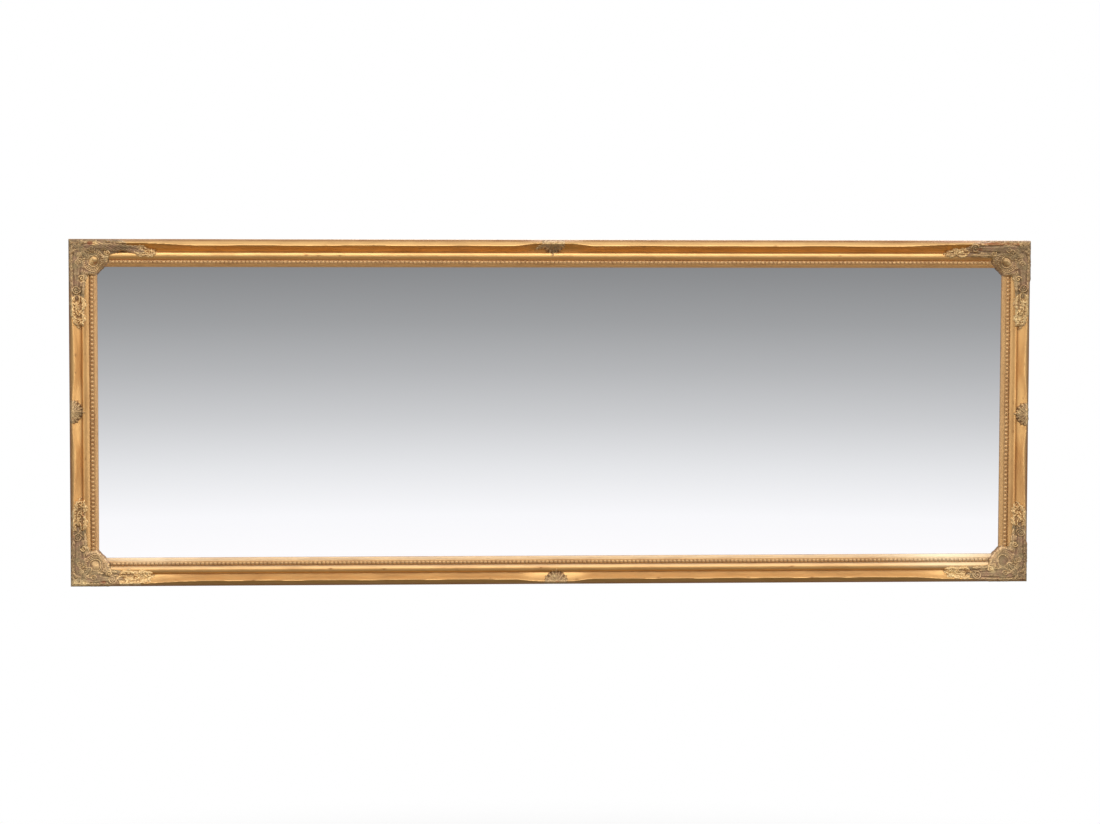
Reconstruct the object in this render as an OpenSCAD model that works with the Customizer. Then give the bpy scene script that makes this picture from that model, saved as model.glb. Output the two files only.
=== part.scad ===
// Pier mirror: a long plate of silvered glass in a gilt frame of four mitred mouldings, with
// composition ornament at the corners and at the middle of each side. It hangs on two D rings.
// X runs along the length, Z is up and the front faces -Y. The origin lies on the wall plane,
// midway between the two hooks that the rings hang on.

/* [Frame] */
// Length over the outer edges
frame_l = 1600; // [900:10:2400]
// Height over the outer edges
frame_h = 574; // [480:2:1200]
// Height of the outer side, from the back to where the face begins
edge_h = 20; // [12:0.5:24]
// Height of the outer crest above the back
crest_h = 32; // [28:0.5:40]
// Distance of the outer crest from the outer edge, between the ornaments
crest_in = 10.2; // [8:0.2:14]
// Distance of the outer crest from the outer edge, where it sweeps out at an ornament
crest_in_swept = 6; // [3:0.2:7.5]

/* [Scoop and inner ridge] */
// Distance of the groove from the outer edge
groove_in = 22.3; // [19:0.1:28]
// Height of the groove
groove_h = 20; // [17:0.5:23]
// Width of the inner ridge's outer flank
flank_w = 5; // [3:0.1:8]
// Width of the inner ridge's round inner side
round_w = 6.1; // [4:0.1:9]
// Height of the inner ridge
ridge_h = 26; // [23:0.5:29]
// Height at the inner ridge's foot
foot_h = 18.8; // [18.2:0.1:20]

/* [Bead channel and sight lip] */
// Width of the channel that holds the beading
channel_w = 7; // [6.5:0.1:9]
// Height of the channel's floor
channel_h = 18; // [16:0.1:18.1]
// Run of the slanted walls beside the channel
wall_run = 0.6; // [0.3:0.1:1]
// Width of the plain lip beside the glass
lip_w = 6.4; // [5:0.1:10]
// Height of the lip beside the channel
lip_h = 18.6; // [18.2:0.1:20]
// Height of the lip at the sight edge
sight_h = 13; // [12:0.5:16]
// Width of the rebate behind the lip
rebate_w = 6; // [4:0.5:6.5]

/* [Sweep of the crest] */
// Distance from a corner within which the crest lies fully out
corner_near = 95; // [75:1:100]
// Distance from a corner at which the crest is back in line
corner_far = 150; // [120:1:160]
// Distance from the middle of a side within which the crest lies fully out
centre_near = 25; // [15:1:35]
// Distance from the middle of a side at which the crest is back in line
centre_far = 70; // [50:1:75]

/* [Beading] */
// Diameter of a bead
bead_d = 6; // [4:0.1:6.4]
// Distance from bead to bead
bead_pitch = 6.9; // [6.6:0.1:9]
// Thickness of the strip that the beads stand on
bead_strip_t = 1; // [0.6:0.1:2]
// Height of the beads' centres above the strip's back
bead_lift = 1.6; // [1.2:0.1:2]
// Distance from a corner at which the beading starts, along the length
bead_start_l = 66; // [64:1:80]
// Distance from a corner at which the beading starts, along the height
bead_start_h = 60; // [58:1:80]

/* [Ornament] */
// Length of a corner ornament's arm along the length
arm_l = 148; // [120:1:170]
// Length of a corner ornament's arm along the height
arm_h = 144; // [120:1:170]
// Distance of the oval boss from the outer edge, along the length
boss_l = 42; // [38:1:46]
// Distance of the oval boss from the outer edge, along the height
boss_h = 35; // [32:1:40]
// Length of a centre ornament
centre_l = 52; // [36:1:60]
// Height of an ornament's ribs above the moulding
relief = 2.6; // [1.6:0.1:4]
// Glue line between an ornament and the moulding
glue_gap = 0.15; // [0.05:0.05:0.3]

/* [Glass and backing] */
// Thickness of the mirror plate
glass_t = 4; // [3:0.5:5]
// Thickness of the backing paper
paper_t = 0.4; // [0.2:0.1:1]
// Thickness of the plywood backboard
board_t = 4; // [3:0.5:5]
// Gap round the plate, which the spacer slips fill
glass_fit = 1.5; // [1:0.1:2.5]
// Gap round the backboard
board_fit = 1; // [0.5:0.1:2]
// Length of a spacer slip
slip_l = 60; // [30:5:100]

/* [Turn buttons] */
// Width of a button
button_w = 9; // [7:0.5:10]
// Distance from a button's screw to the centre of its tip
button_reach = 22; // [16:1:30]
// Thickness of a button
button_t = 1.6; // [1:0.1:2.5]
// Distance of a button's screw from the rebate
button_in = 5.4; // [5.2:0.1:7]
// Radius of a button screw's shank
button_screw_r = 1.5; // [1.2:0.1:2]
// Depth of a button screw in the wood
button_screw_l = 12; // [8:0.5:14]

/* [Hangers] */
// Distance of the hook line below the top edge
hook_drop = 120; // [90:5:150]
// Distance of a hanger's centre line from the outer edge
hanger_in = 20; // [18:0.5:22]
// Width of a hanger's strap
strap_w = 14; // [10:0.5:15]
// Length of a hanger's strap below the ring's bar
strap_l = 40; // [38:1:50]
// Thickness of a hanger's strap
strap_t = 1.2; // [1:0.1:2]
// Radius of the ring's wire
wire_r = 1.25; // [1:0.05:1.5]
// Distance between the ring's two legs, centre to centre
ring_w = 19; // [18.5:0.5:21]
// Distance from the ring's bar to the far end of its bow, centre to centre
ring_reach = 24; // [22:0.5:26]
// Distance of the upper strap screw below the bar
strap_screw_near = 9; // [8:0.5:10]
// Distance of the lower strap screw below the bar
strap_screw_far = 33; // [31:0.5:34]
// Radius of a strap screw's shank
strap_screw_r = 1.75; // [1.5:0.05:2]
// Depth of a strap screw in the wood
strap_screw_l = 14; // [10:0.5:15]
// Distance of a wall bumper from the stile's outer edge
bumper_in = 90; // [60:5:200]
// Radius of a wall bumper
bumper_r = 8; // [6:0.5:12]

/* [Fits] */
// Radial running clearance of pins and shanks in moving pieces
running_gap = 0.06; // [0.03:0.01:0.09]
// Clearance of pieces that lie still in their seats
seat_gap = 0.05; // [0.02:0.01:0.1]

/* [Hidden] */

GOLD = "goldenrod";
OLD_GOLD = "darkkhaki";
BRASS = "khaki";
STEEL = "silver";

// The four sides, in quarter turns from the bottom one, and each side's half length and middle
BOTTOM = 0;
RIGHT = 1;
TOP = 2;
LEFT = 3;
function long_side(side) = side == BOTTOM || side == TOP;
function half_length(side) = (long_side(side) ? frame_l : frame_h) / 2;
function middle_out(side) = (long_side(side) ? frame_h : frame_l) / 2;

// Across the moulding, from the outer edge to the sight edge
channel_in = groove_in + flank_w + round_w + wall_run;
lip_in = channel_in + channel_w + wall_run;
moulding_w = lip_in + lip_w;
rebate_in = moulding_w - rebate_w;
rebate_d = glass_t + paper_t + board_t;

// Behind the moulding
head_h = 1.4;
head_slot = 0.8;
wall_gap = 0.4;
bar_out = strap_t + seat_gap + wire_r + running_gap;
barrel_r = bar_out;
standoff = bar_out + barrel_r + wall_gap;
bar_below_hook = ring_reach - wire_r;

// Steps in the moulding's curves and in its sweep
slope_n = 4;
scoop_n = 5;
flank_n = 3;
round_n = 4;
lip_n = 2;
sweep_n = 5;
back_n = 6;

// ---------------------------------------------------------------- placing
// Everything is drawn flat first: X along the frame, Y up it and Z out of its back plane
// towards the viewer. in_place() stands it up and hangs it on the hook line.
module in_place() {
    translate([0, -standoff, hook_drop - frame_h / 2])
        rotate([90, 0, 0])
            children();
}

// A side's own frame: X along it, Y inwards from its outer edge
module on_side(side) {
    rotate([0, 0, 90 * side])
        translate([0, -middle_out(side), 0])
            children();
}

// A corner's own frame: X along the length and Y along the height, both from the outer corner
module at_corner(right, top) {
    mirror([right, 0, 0])
        mirror([0, top, 0])
            translate([-frame_l / 2, -frame_h / 2, 0])
                children();
}

// ---------------------------------------------------------------- moulding
function swell(d, near, far) =
    d <= near ? 1 : d >= far ? 0 : (1 + cos(180 * (d - near) / (far - near))) / 2;

function crest_at(s, half) =
    crest_in - (crest_in - crest_in_swept)
        * max(swell(half - abs(s), corner_near, corner_far), swell(abs(s), centre_near, centre_far));

// The face of the moulding with its crest at c, from the outer edge to the sight edge
function face(c) = concat(
    [for (i = [0:slope_n]) let (t = i / slope_n)
        [c * t, edge_h + (crest_h - edge_h) * (t + sin(90 * t)) / 2]],
    [for (i = [1:scoop_n]) let (t = i / scoop_n)
        [c + (groove_in - c) * t, groove_h + (crest_h - groove_h) * pow(1 - t, 1.5)]],
    [for (i = [1:flank_n]) let (t = i / flank_n)
        [groove_in + flank_w * t, groove_h + (ridge_h - groove_h) * sin(90 * t)]],
    [for (i = [1:round_n]) let (t = i / round_n)
        [groove_in + flank_w + round_w * t, foot_h + (ridge_h - foot_h) * cos(90 * t)]],
    [[channel_in, channel_h], [channel_in + channel_w, channel_h]],
    [for (i = [0:lip_n]) let (t = i / lip_n)
        [lip_in + lip_w * t, sight_h + (lip_h - sight_h) * cos(90 * t)]]
);

foot_u = channel_in - wall_run;
back = [
    [moulding_w, rebate_d],
    [rebate_in, rebate_d],
    [rebate_in, 0],
    [foot_u, 0],
    [groove_in, 0],
    [0, 0]
];

groove_i = slope_n + scoop_n;
foot_i = groove_i + flank_n + round_n;
face_n = foot_i + 3 + lip_n + 1;
section_n = face_n + back_n;

// Places along a side where its section is drawn, between its two mitres
function places(half) = let (
    out = [for (i = [0:sweep_n]) centre_near + (centre_far - centre_near) * i / sweep_n],
    far = [for (i = [0:sweep_n]) half - corner_far + (corner_far - corner_near) * i / sweep_n],
    right = concat(out, far),
    n = len(right)
) concat([for (i = [0:n - 1]) -right[n - 1 - i]], right);

function fan(root, first, last) = [for (i = [first:last - 1]) [root, i, i + 1]];

// The mitred end is filled by fans from the back's own corners
end_fill = let (
    rebate_i = face_n + 1,
    foot_back_i = face_n + 3,
    groove_back_i = face_n + 4,
    outer_back_i = face_n + 5
) concat(
    fan(outer_back_i, 0, groove_i),
    [[outer_back_i, groove_i, groove_back_i]],
    fan(groove_back_i, groove_i, foot_i),
    [[groove_back_i, foot_i, foot_back_i]],
    [[foot_back_i, foot_i, foot_i + 1]],
    [[foot_back_i, foot_i + 1, rebate_i], [foot_back_i, rebate_i, rebate_i + 1]],
    fan(rebate_i, foot_i + 1, face_n)
);

module moulding(side) {
    half = half_length(side);
    stops = places(half);
    last = len(stops) + 1;
    points = [
        for (k = [0:last])
            let (
                s = k == 0 ? -half : k == last ? half : stops[k - 1],
                section = concat(face(crest_at(s, half)), back)
            )
            for (p = section)
                [k == 0 ? p[0] - half : k == last ? half - p[0] : s, p[0], p[1]]
    ];
    skin = [
        for (k = [0:last - 1], j = [0:section_n - 1])
            let (
                a = k * section_n + j,
                b = k * section_n + (j + 1) % section_n,
                c = b + section_n,
                d = a + section_n
            )
            each [[a, b, c], [a, c, d]]
    ];
    ends = concat(
        [for (f = end_fill) [f[0], f[2], f[1]]],
        [for (f = end_fill) f + last * section_n * [1, 1, 1]]
    );
    polyhedron(points, concat(skin, ends), convexity = 10);
}

// ---------------------------------------------------------------- fixings in the back
module drilled(r, depth) {
    translate([0, 0, -1])
        cylinder(r = r, h = depth + 1, $fn = 32);
}

// Turn buttons along each long side, and along each stile: as many as NODES names
buttons_l = 3;
buttons_h = 2;

function button_places(side) = let (
    n = long_side(side) ? buttons_l : buttons_h,
    span = 2 * (half_length(side) - rebate_in)
) [for (i = [0:n - 1]) span * ((i + 0.5) / n - 0.5)];

button_u = rebate_in - button_in;
hanger_x = frame_l / 2 - hanger_in;
bar_y = frame_h / 2 - hook_drop - bar_below_hook;

module strap_screw_places() {
    for (x = [-1, 1] * hanger_x, down = [strap_screw_near, strap_screw_far])
        translate([x, bar_y - down, 0])
            children();
}

// A V nail's two thin legs, one each side of the mitre, pressed in flush with the back
nail_t = 0.8;
nail_leg = 9;
nail_depth = 8;
nail_open = 35;
nail_near = 12;
nail_far = 26;

module nail(grow) {
    rotate([0, 0, 45])
        for (turn = [-1, 1] * nail_open)
            rotate([0, 0, turn])
                translate([-grow, -nail_t / 2 - grow, -2 * grow])
                    cube([nail_leg + 2 * grow, nail_t + 2 * grow, nail_depth + 3 * grow]);
}

module nails(grow = 0) {
    for (right = [0, 1], top = [0, 1])
        at_corner(right, top)
            for (d = [nail_near, nail_far])
                translate([d, d, 0])
                    nail(grow);
}

module rail(side) {
    difference() {
        on_side(side)
            moulding(side);
        on_side(side)
            for (s = button_places(side))
                translate([s, button_u, 0])
                    drilled(button_screw_r + seat_gap, button_screw_l + seat_gap);
        if (!long_side(side))
            strap_screw_places()
                drilled(strap_screw_r + seat_gap, strap_screw_l + seat_gap);
        nails(seat_gap);
    }
}

// ---------------------------------------------------------------- beading
module beading(side) {
    start = long_side(side) ? bead_start_l : bead_start_h;
    length = 2 * (half_length(side) - start);
    count = floor((length - bead_d) / bead_pitch);
    color(GOLD) in_place() on_side(side)
        translate([0, channel_in + channel_w / 2, channel_h])
            difference() {
                union() {
                    translate([-length / 2, -channel_w / 2 + seat_gap, 0])
                        cube([length, channel_w - 2 * seat_gap, bead_strip_t]);
                    for (i = [0:count])
                        translate([(i - count / 2) * bead_pitch, 0, bead_lift])
                            sphere(d = bead_d, $fn = 24);
                }
                translate([-length / 2 - 1, -channel_w, -bead_d])
                    cube([length + 2, 2 * channel_w, bead_d]);
            }
}

// ---------------------------------------------------------------- ornament
// An ornament is a relief patch drawn over the swept moulding, with small knobs drawn together
// in pairs for its ribs and petals; the moulding's own shape is cut away under it.
function crest_from_corner(d) =
    crest_in - (crest_in - crest_in_swept) * swell(d, corner_near, corner_far);

function rise(d, u) = lookup(min(max(u, 0), moulding_w), face(crest_from_corner(d)));

sunk = 6;
under = groove_h - sunk;

// Rows of points across, one row after another, closed by a flat underside
module strip(rows) {
    n = len(rows);
    m = len(rows[0]);
    flat = [for (row = rows) each row];
    floor = [for (p = flat) [p[0], p[1], under]];
    low = n * m;
    function quad(p, q, r, s) = [[p, q, r], [p, r, s]];
    polyhedron(concat(flat, floor), [
        for (i = [0:n - 2], j = [0:m - 2])
            let (p = i * m + j)
            each concat(
                quad(p, p + 1, p + m + 1, p + m),
                quad(p + low, p + m + low, p + m + 1 + low, p + 1 + low)
            ),
        for (i = [0:n - 2])
            let (p = i * m, q = i * m + m - 1)
            each concat(
                quad(p, p + m, p + m + low, p + low),
                quad(q + m, q, q + low, q + m + low)
            ),
        for (j = [0:m - 2])
            let (p = j, q = (n - 1) * m + j)
            each concat(
                quad(p + 1, p, p + low, p + 1 + low),
                quad(q, q + 1, q + 1 + low, q + low)
            )
    ], convexity = 10);
}

// Rings of points round a middle one, closed by a flat underside
module fan_patch(middle, rings) {
    n = len(rings);
    m = len(rings[0]);
    rim = [for (p = rings[n - 1]) [p[0], p[1], under]];
    points = concat([middle], [for (ring = rings) each ring], rim, [[middle[0], middle[1], under]]);
    last = len(points) - 1;
    polyhedron(points, [
        for (j = [0:m - 1])
            let (k = (j + 1) % m)
            each concat(
                [[0, 1 + k, 1 + j], [last, 1 + n * m + j, 1 + n * m + k]],
                [for (i = [0:n - 1])
                    let (p = 1 + i * m + j, q = 1 + i * m + k)
                    each [[p, q, q + m], [p, q + m, p + m]]]
            )
    ], convexity = 10);
}

module knob(p, r, z) {
    translate([p[0], p[1], z])
        sphere(r = r, $fn = 6);
}

// An arm is a feathered leaf that lies in the scoop and narrows towards its tip, t from 0 to 1
arm_start = 30;
arm_steps = 40;
arm_across = 6;
leaflet_pitch = 13;
rosette_r = 5.5;
function stem_u(t) = 12.5 + 8.5 * t * t;
function arm_w(t) = 10.5 - 6.5 * t;

module arm(length) {
    span = length - arm_start - 1.5 * rosette_r;
    strip([
        for (i = [0:arm_steps])
            let (t = i / arm_steps, d = arm_start + span * t)
            [for (j = [0:arm_across])
                let (
                    v = 2 * j / arm_across - 1,
                    wave = cos(360 * (d / leaflet_pitch - 0.45 * abs(v))),
                    u = stem_u(t) + v * arm_w(t) * (0.9 + 0.1 * wave),
                    up = relief * (1.1 - 0.6 * abs(v)) * (0.85 + 0.35 * wave)
                )
                [d, u, rise(d, u) + up]]
    ]);
    rosette([length - rosette_r, stem_u(1)]);
}

petals = 5;
petal_root_r = 1.6;
petal_tip_r = 1.9;
module rosette(p) {
    z = rise(p[0], p[1]);
    for (i = [0:petals - 1]) {
        turn = 360 * i / petals;
        q = p + 0.7 * rosette_r * [cos(turn), sin(turn)];
        hull() {
            knob(p, petal_root_r, z + relief / 2);
            knob(q, petal_tip_r, rise(q[0], q[1]) + relief / 3);
        }
    }
}

// The mass at the corner spreads from the oval boss: a ring of flutes that fans out over the
// sight corner and runs up to the outer edges
shell_r = 24;
shell_steps = 48;
shell_rings = 5;
flutes = 16;
rim_in = 2.5;
web_back_h = 10.5;
// Height of the mass by the distance from the nearer outer edge
mass_top = [[0, 33.4], [8, 35.8], [20, 33], [34, 29.5], [48, 23.5], [70, 18]];
boss_sunk = 1.5;
ring_r = 11;
ring_t = 3.6;
boss_half = [8, 6.6, 5.5];

function shell_reach(turn) = min(
    cos(turn) < -0.01 ? (boss_l - rim_in) / -cos(turn) : 1000,
    sin(turn) < -0.01 ? (boss_h - rim_in) / -sin(turn) : 1000,
    shell_r * (1 + 1.4 * max(0, -cos(turn - 45)))
);

module shell() {
    fan_patch([boss_l, boss_h, lookup(boss_h, mass_top) - boss_sunk], [
        for (i = [1:shell_rings])
            [for (j = [0:shell_steps - 1])
                let (
                    turn = 360 * j / shell_steps,
                    f = i / shell_rings,
                    wave = cos(flutes * turn),
                    r = shell_reach(turn) * f * (1 + 0.03 * wave * f),
                    a = boss_l + r * cos(turn),
                    b = boss_h + r * sin(turn)
                )
                [a, b, lookup(min(a, b), mass_top) + relief * f * (0.35 * wave - 0.4 * f * f)]]
    ]);
}

module corner_body() {
    arm(arm_l);
    mirror([1, -1, 0])
        arm(arm_h);
    shell();
    translate([boss_l, boss_h, lookup(boss_h, mass_top)]) {
        rotate_extrude($fn = 16)
            translate([ring_r, 0])
                circle(d = ring_t, $fn = 6);
        translate([0, 0, -boss_sunk])
            scale(boss_half)
                sphere(r = 1, $fn = 12);
    }
}

// Past the outer edges, over as much as the ornament's arms could reach
module outside() {
    translate([-moulding_w, -moulding_w, 0]) {
        cube([moulding_w, arm_h + 2 * moulding_w, 2 * crest_h]);
        cube([arm_l + 2 * moulding_w, moulding_w, 2 * crest_h]);
    }
}

module corner_ornament(right, top) {
    color(OLD_GOLD) in_place()
        difference() {
            at_corner(right, top)
                corner_body();
            translate([0, 0, glue_gap]) {
                on_side(top ? TOP : BOTTOM)
                    moulding(top ? TOP : BOTTOM);
                on_side(right ? RIGHT : LEFT)
                    moulding(right ? RIGHT : LEFT);
            }
            // the beading's own run, the open air over the glass, and past the outer edges
            at_corner(right, top)
                outside();
            at_corner(right, top) {
                translate([bead_start_l - glue_gap, channel_in - glue_gap, 0])
                    cube([arm_l, channel_w + 2 * glue_gap, crest_h * 2]);
                translate([channel_in - glue_gap, bead_start_h - glue_gap, 0])
                    cube([channel_w + 2 * glue_gap, arm_h, crest_h * 2]);
                translate([0, 0, -1])
                    cube([arm_l + moulding_w, arm_h + moulding_w, web_back_h + 1]);
            }
        }
}

// A small shell of leaves that fills the scoop at the middle of a side
centre_u = 13;
centre_w = 9;
centre_steps = 28;
centre_rings = 3;
centre_flutes = 7;
centre_leaves = 4;
leaf_root_r = 2.4;
leaf_tip_r = 1.7;
leaf_root_spread = 5;
leaf_tip_spread = 14;

module centre_body() {
    fan_patch([0, centre_u, rise(0, centre_u) + 2 * relief], [
        for (i = [1:centre_rings])
            [for (j = [0:centre_steps - 1])
                let (
                    turn = 360 * j / centre_steps,
                    f = i / centre_rings,
                    wave = cos(centre_flutes * turn),
                    x = (centre_l / 3) * f * (1 + 0.15 * wave) * cos(turn),
                    u = centre_u + centre_w * f * (1 + 0.1 * wave) * sin(turn)
                )
                [x, u, rise(0, u) + relief * (1.6 - 1.1 * f + 0.3 * wave * f)]]
    ]);
    for (dir = [-1, 1], i = [0:centre_leaves - 1]) {
        spread = i / (centre_leaves - 1) - 0.5;
        root_u = centre_u + leaf_root_spread * spread;
        tip_u = centre_u + leaf_tip_spread * spread;
        tip_x = centre_l / 2 - leaf_tip_r - leaf_tip_spread * abs(spread) * 0.6;
        hull() {
            knob([dir * centre_l / 5, root_u], leaf_root_r, rise(0, root_u) + relief / 2);
            knob([dir * tip_x, tip_u], leaf_tip_r, rise(0, tip_u) + relief / 3);
        }
    }
}

module centre_ornament(side) {
    color(OLD_GOLD) in_place() on_side(side)
        difference() {
            centre_body();
            translate([0, 0, glue_gap])
                moulding(side);
        }
}

// ---------------------------------------------------------------- glass and backing
opening = [frame_l, frame_h] - 2 * [rebate_in, rebate_in];

module sheet(size, t, z) {
    translate([-size[0] / 2, -size[1] / 2, z])
        cube([size[0], size[1], t]);
}

module mirror_plate() {
    color("lightsteelblue") in_place()
        sheet(opening - 2 * [glass_fit, glass_fit], glass_t, board_t + paper_t);
}

module backing_paper() {
    color("tan") in_place()
        sheet(opening - 2 * [glass_fit, glass_fit], paper_t, board_t);
}

module backboard() {
    color("burlywood") in_place()
        sheet(opening - 2 * [board_fit, board_fit], board_t, 0);
}

module spacer_slips() {
    color("wheat") in_place()
        for (side = [BOTTOM, RIGHT, TOP, LEFT])
            on_side(side)
                for (s = long_side(side) ? [-frame_l / 4, frame_l / 4] : [0])
                    translate([s - slip_l / 2, rebate_in, board_t + paper_t])
                        cube([slip_l, glass_fit, glass_t]);
}

module mitre_nails() {
    color(STEEL) in_place()
        nails();
}

// ---------------------------------------------------------------- turn buttons
module button(side, i) {
    color(BRASS) in_place() on_side(side)
        translate([button_places(side)[i], button_u, -seat_gap - button_t])
            difference() {
                linear_extrude(height = button_t)
                    union() {
                        circle(d = button_w, $fn = 48);
                        translate([-button_w / 2, 0])
                            square([button_w, button_reach]);
                        translate([0, button_reach])
                            circle(d = button_w, $fn = 48);
                    }
                translate([0, 0, -1])
                    cylinder(r = button_screw_r + running_gap, h = button_t + 2, $fn = 32);
            }
}

// A round-headed screw with a slot, its head's seat out from the wood
module screw(r, length, seat) {
    difference() {
        union() {
            translate([0, 0, -seat])
                cylinder(r = r, h = length + seat, $fn = 32);
            translate([0, 0, -seat - head_h])
                cylinder(r = 2 * r, h = head_h, $fn = 32);
        }
        translate([-2 * r - 1, -head_slot / 2, -seat - head_h - 1])
            cube([4 * r + 2, head_slot, 1 + head_h / 2]);
    }
}

module button_screws() {
    color(BRASS) in_place()
        for (side = [BOTTOM, RIGHT, TOP, LEFT])
            on_side(side)
                for (s = button_places(side))
                    translate([s, button_u, 0])
                        screw(button_screw_r, button_screw_l, button_t + 2 * seat_gap);
}

// ---------------------------------------------------------------- hangers
module strap(dir) {
    color(BRASS) in_place()
        translate([dir * hanger_x, bar_y, 0])
            difference() {
                union() {
                    translate([-strap_w / 2, -strap_l, -strap_t])
                        cube([strap_w, strap_l, strap_t]);
                    translate([-strap_w / 2, 0, -bar_out])
                        rotate([0, 90, 0])
                            cylinder(r = barrel_r, h = strap_w, $fn = 48);
                }
                translate([-strap_w / 2 - 1, 0, -bar_out])
                    rotate([0, 90, 0])
                        cylinder(r = wire_r + running_gap, h = strap_w + 2, $fn = 48);
                for (down = [strap_screw_near, strap_screw_far])
                    translate([0, -down, -strap_t - 1])
                        cylinder(r = strap_screw_r + seat_gap, h = strap_t + 2, $fn = 32);
            }
}

module strap_screws() {
    color(STEEL) in_place()
        strap_screw_places()
            screw(strap_screw_r, strap_screw_l, strap_t);
}

// The ring hangs down from its bar: two legs and a round bow, bent from one wire
module ring(dir) {
    bow_r = ring_w / 2;
    leg = ring_reach - bow_r;
    color(STEEL) in_place()
        translate([dir * hanger_x, bar_y, -bar_out]) {
            translate([-bow_r, 0, 0])
                rotate([0, 90, 0])
                    cylinder(r = wire_r, h = ring_w, $fn = 48);
            for (x = [-bow_r, bow_r])
                translate([x, 0, 0]) {
                    sphere(r = wire_r, $fn = 48);
                    rotate([90, 0, 0])
                        cylinder(r = wire_r, h = leg, $fn = 48);
                }
            translate([0, -leg, 0])
                rotate([0, 0, 180])
                    rotate_extrude(angle = 180, $fn = 96)
                        translate([bow_r, 0])
                            circle(r = wire_r, $fn = 48);
        }
}

module wall_bumpers() {
    color("dimgray") in_place()
        for (x = [-1, 1] * (frame_l / 2 - bumper_in))
            translate([x, -frame_h / 2 + moulding_w / 2, -standoff])
                cylinder(r = bumper_r, h = standoff, $fn = 48);
}

module frame_side(side) {
    color(GOLD) in_place()
        rail(side);
}

frame_side(TOP);  // top_rail
frame_side(BOTTOM);  // bottom_rail
frame_side(LEFT);  // left_stile
frame_side(RIGHT);  // right_stile
beading(TOP);  // top_beading
beading(BOTTOM);  // bottom_beading
beading(LEFT);  // left_beading
beading(RIGHT);  // right_beading
corner_ornament(0, 1);  // corner_top_left
corner_ornament(1, 1);  // corner_top_right
corner_ornament(0, 0);  // corner_bottom_left
corner_ornament(1, 0);  // corner_bottom_right
centre_ornament(TOP);  // centre_top
centre_ornament(BOTTOM);  // centre_bottom
centre_ornament(LEFT);  // centre_left
centre_ornament(RIGHT);  // centre_right
mirror_plate();
spacer_slips();
backing_paper();
backboard();
mitre_nails();
// Buttons are numbered from the viewer's left, and from the top
button(TOP, 2);  // button_top_1
button(TOP, 1);  // button_top_2
button(TOP, 0);  // button_top_3
button(BOTTOM, 0);  // button_bottom_1
button(BOTTOM, 1);  // button_bottom_2
button(BOTTOM, 2);  // button_bottom_3
button(LEFT, 0);  // button_left_1
button(LEFT, 1);  // button_left_2
button(RIGHT, 1);  // button_right_1
button(RIGHT, 0);  // button_right_2
button_screws();
strap(-1);  // strap_left
strap(1);  // strap_right
ring(-1);  // ring_left
ring(1);  // ring_right
strap_screws();
wall_bumpers();
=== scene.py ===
"""Pier mirror: the gilt moulding, the beading, the composition ornament and the finishes that go
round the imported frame. Lengths inside the making functions are in millimetres."""

import functools
import itertools
import math
from typing import NamedTuple

import bmesh
import bpy
import numpy as np
from bpy.props import FloatProperty, FloatVectorProperty, IntProperty, PointerProperty
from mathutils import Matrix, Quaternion, Vector


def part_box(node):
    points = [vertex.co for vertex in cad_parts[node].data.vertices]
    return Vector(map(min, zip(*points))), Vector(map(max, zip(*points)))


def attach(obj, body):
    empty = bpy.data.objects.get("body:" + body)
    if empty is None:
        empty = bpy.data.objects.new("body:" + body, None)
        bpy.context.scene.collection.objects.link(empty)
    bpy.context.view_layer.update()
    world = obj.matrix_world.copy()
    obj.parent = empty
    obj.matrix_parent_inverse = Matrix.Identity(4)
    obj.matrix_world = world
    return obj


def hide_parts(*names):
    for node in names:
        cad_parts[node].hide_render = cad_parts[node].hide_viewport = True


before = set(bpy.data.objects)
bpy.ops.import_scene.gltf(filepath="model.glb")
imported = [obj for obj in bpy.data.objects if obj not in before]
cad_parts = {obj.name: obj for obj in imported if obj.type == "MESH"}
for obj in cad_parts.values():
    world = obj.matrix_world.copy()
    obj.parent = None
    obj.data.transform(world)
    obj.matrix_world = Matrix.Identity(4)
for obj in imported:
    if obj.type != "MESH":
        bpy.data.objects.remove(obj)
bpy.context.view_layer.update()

bl_info = {
    "name": "Pier Mirror",
    "version": (1, 0, 0),
    "blender": (4, 5, 0),
    "location": "3D View > Sidebar > Pier Mirror",
    "description": "Dresses a long gilt mirror frame: moulding, beading, ornament, glass and fixings",
    "category": "Add Mesh",
}

MM = 0.001
SEED = 1870


# ---------------------------------------------------------------- settings
def linear(hex_colour):
    """Linear red, green and blue of an sRGB hex colour."""
    parts = [int(hex_colour[i:i + 2], 16) / 255 for i in (1, 3, 5)]
    return tuple(p / 12.92 if p <= 0.04045 else ((p + 0.055) / 1.055) ** 2.4 for p in parts)


def size(label, millimetres, text):
    return FloatProperty(name=label, description=text, default=millimetres * MM, min=0, unit="LENGTH",
                         precision=5)


def colour(label, hex_colour, text):
    return FloatVectorProperty(name=label, description=text, default=linear(hex_colour), size=3,
                               min=0, max=1, subtype="COLOR")


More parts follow.
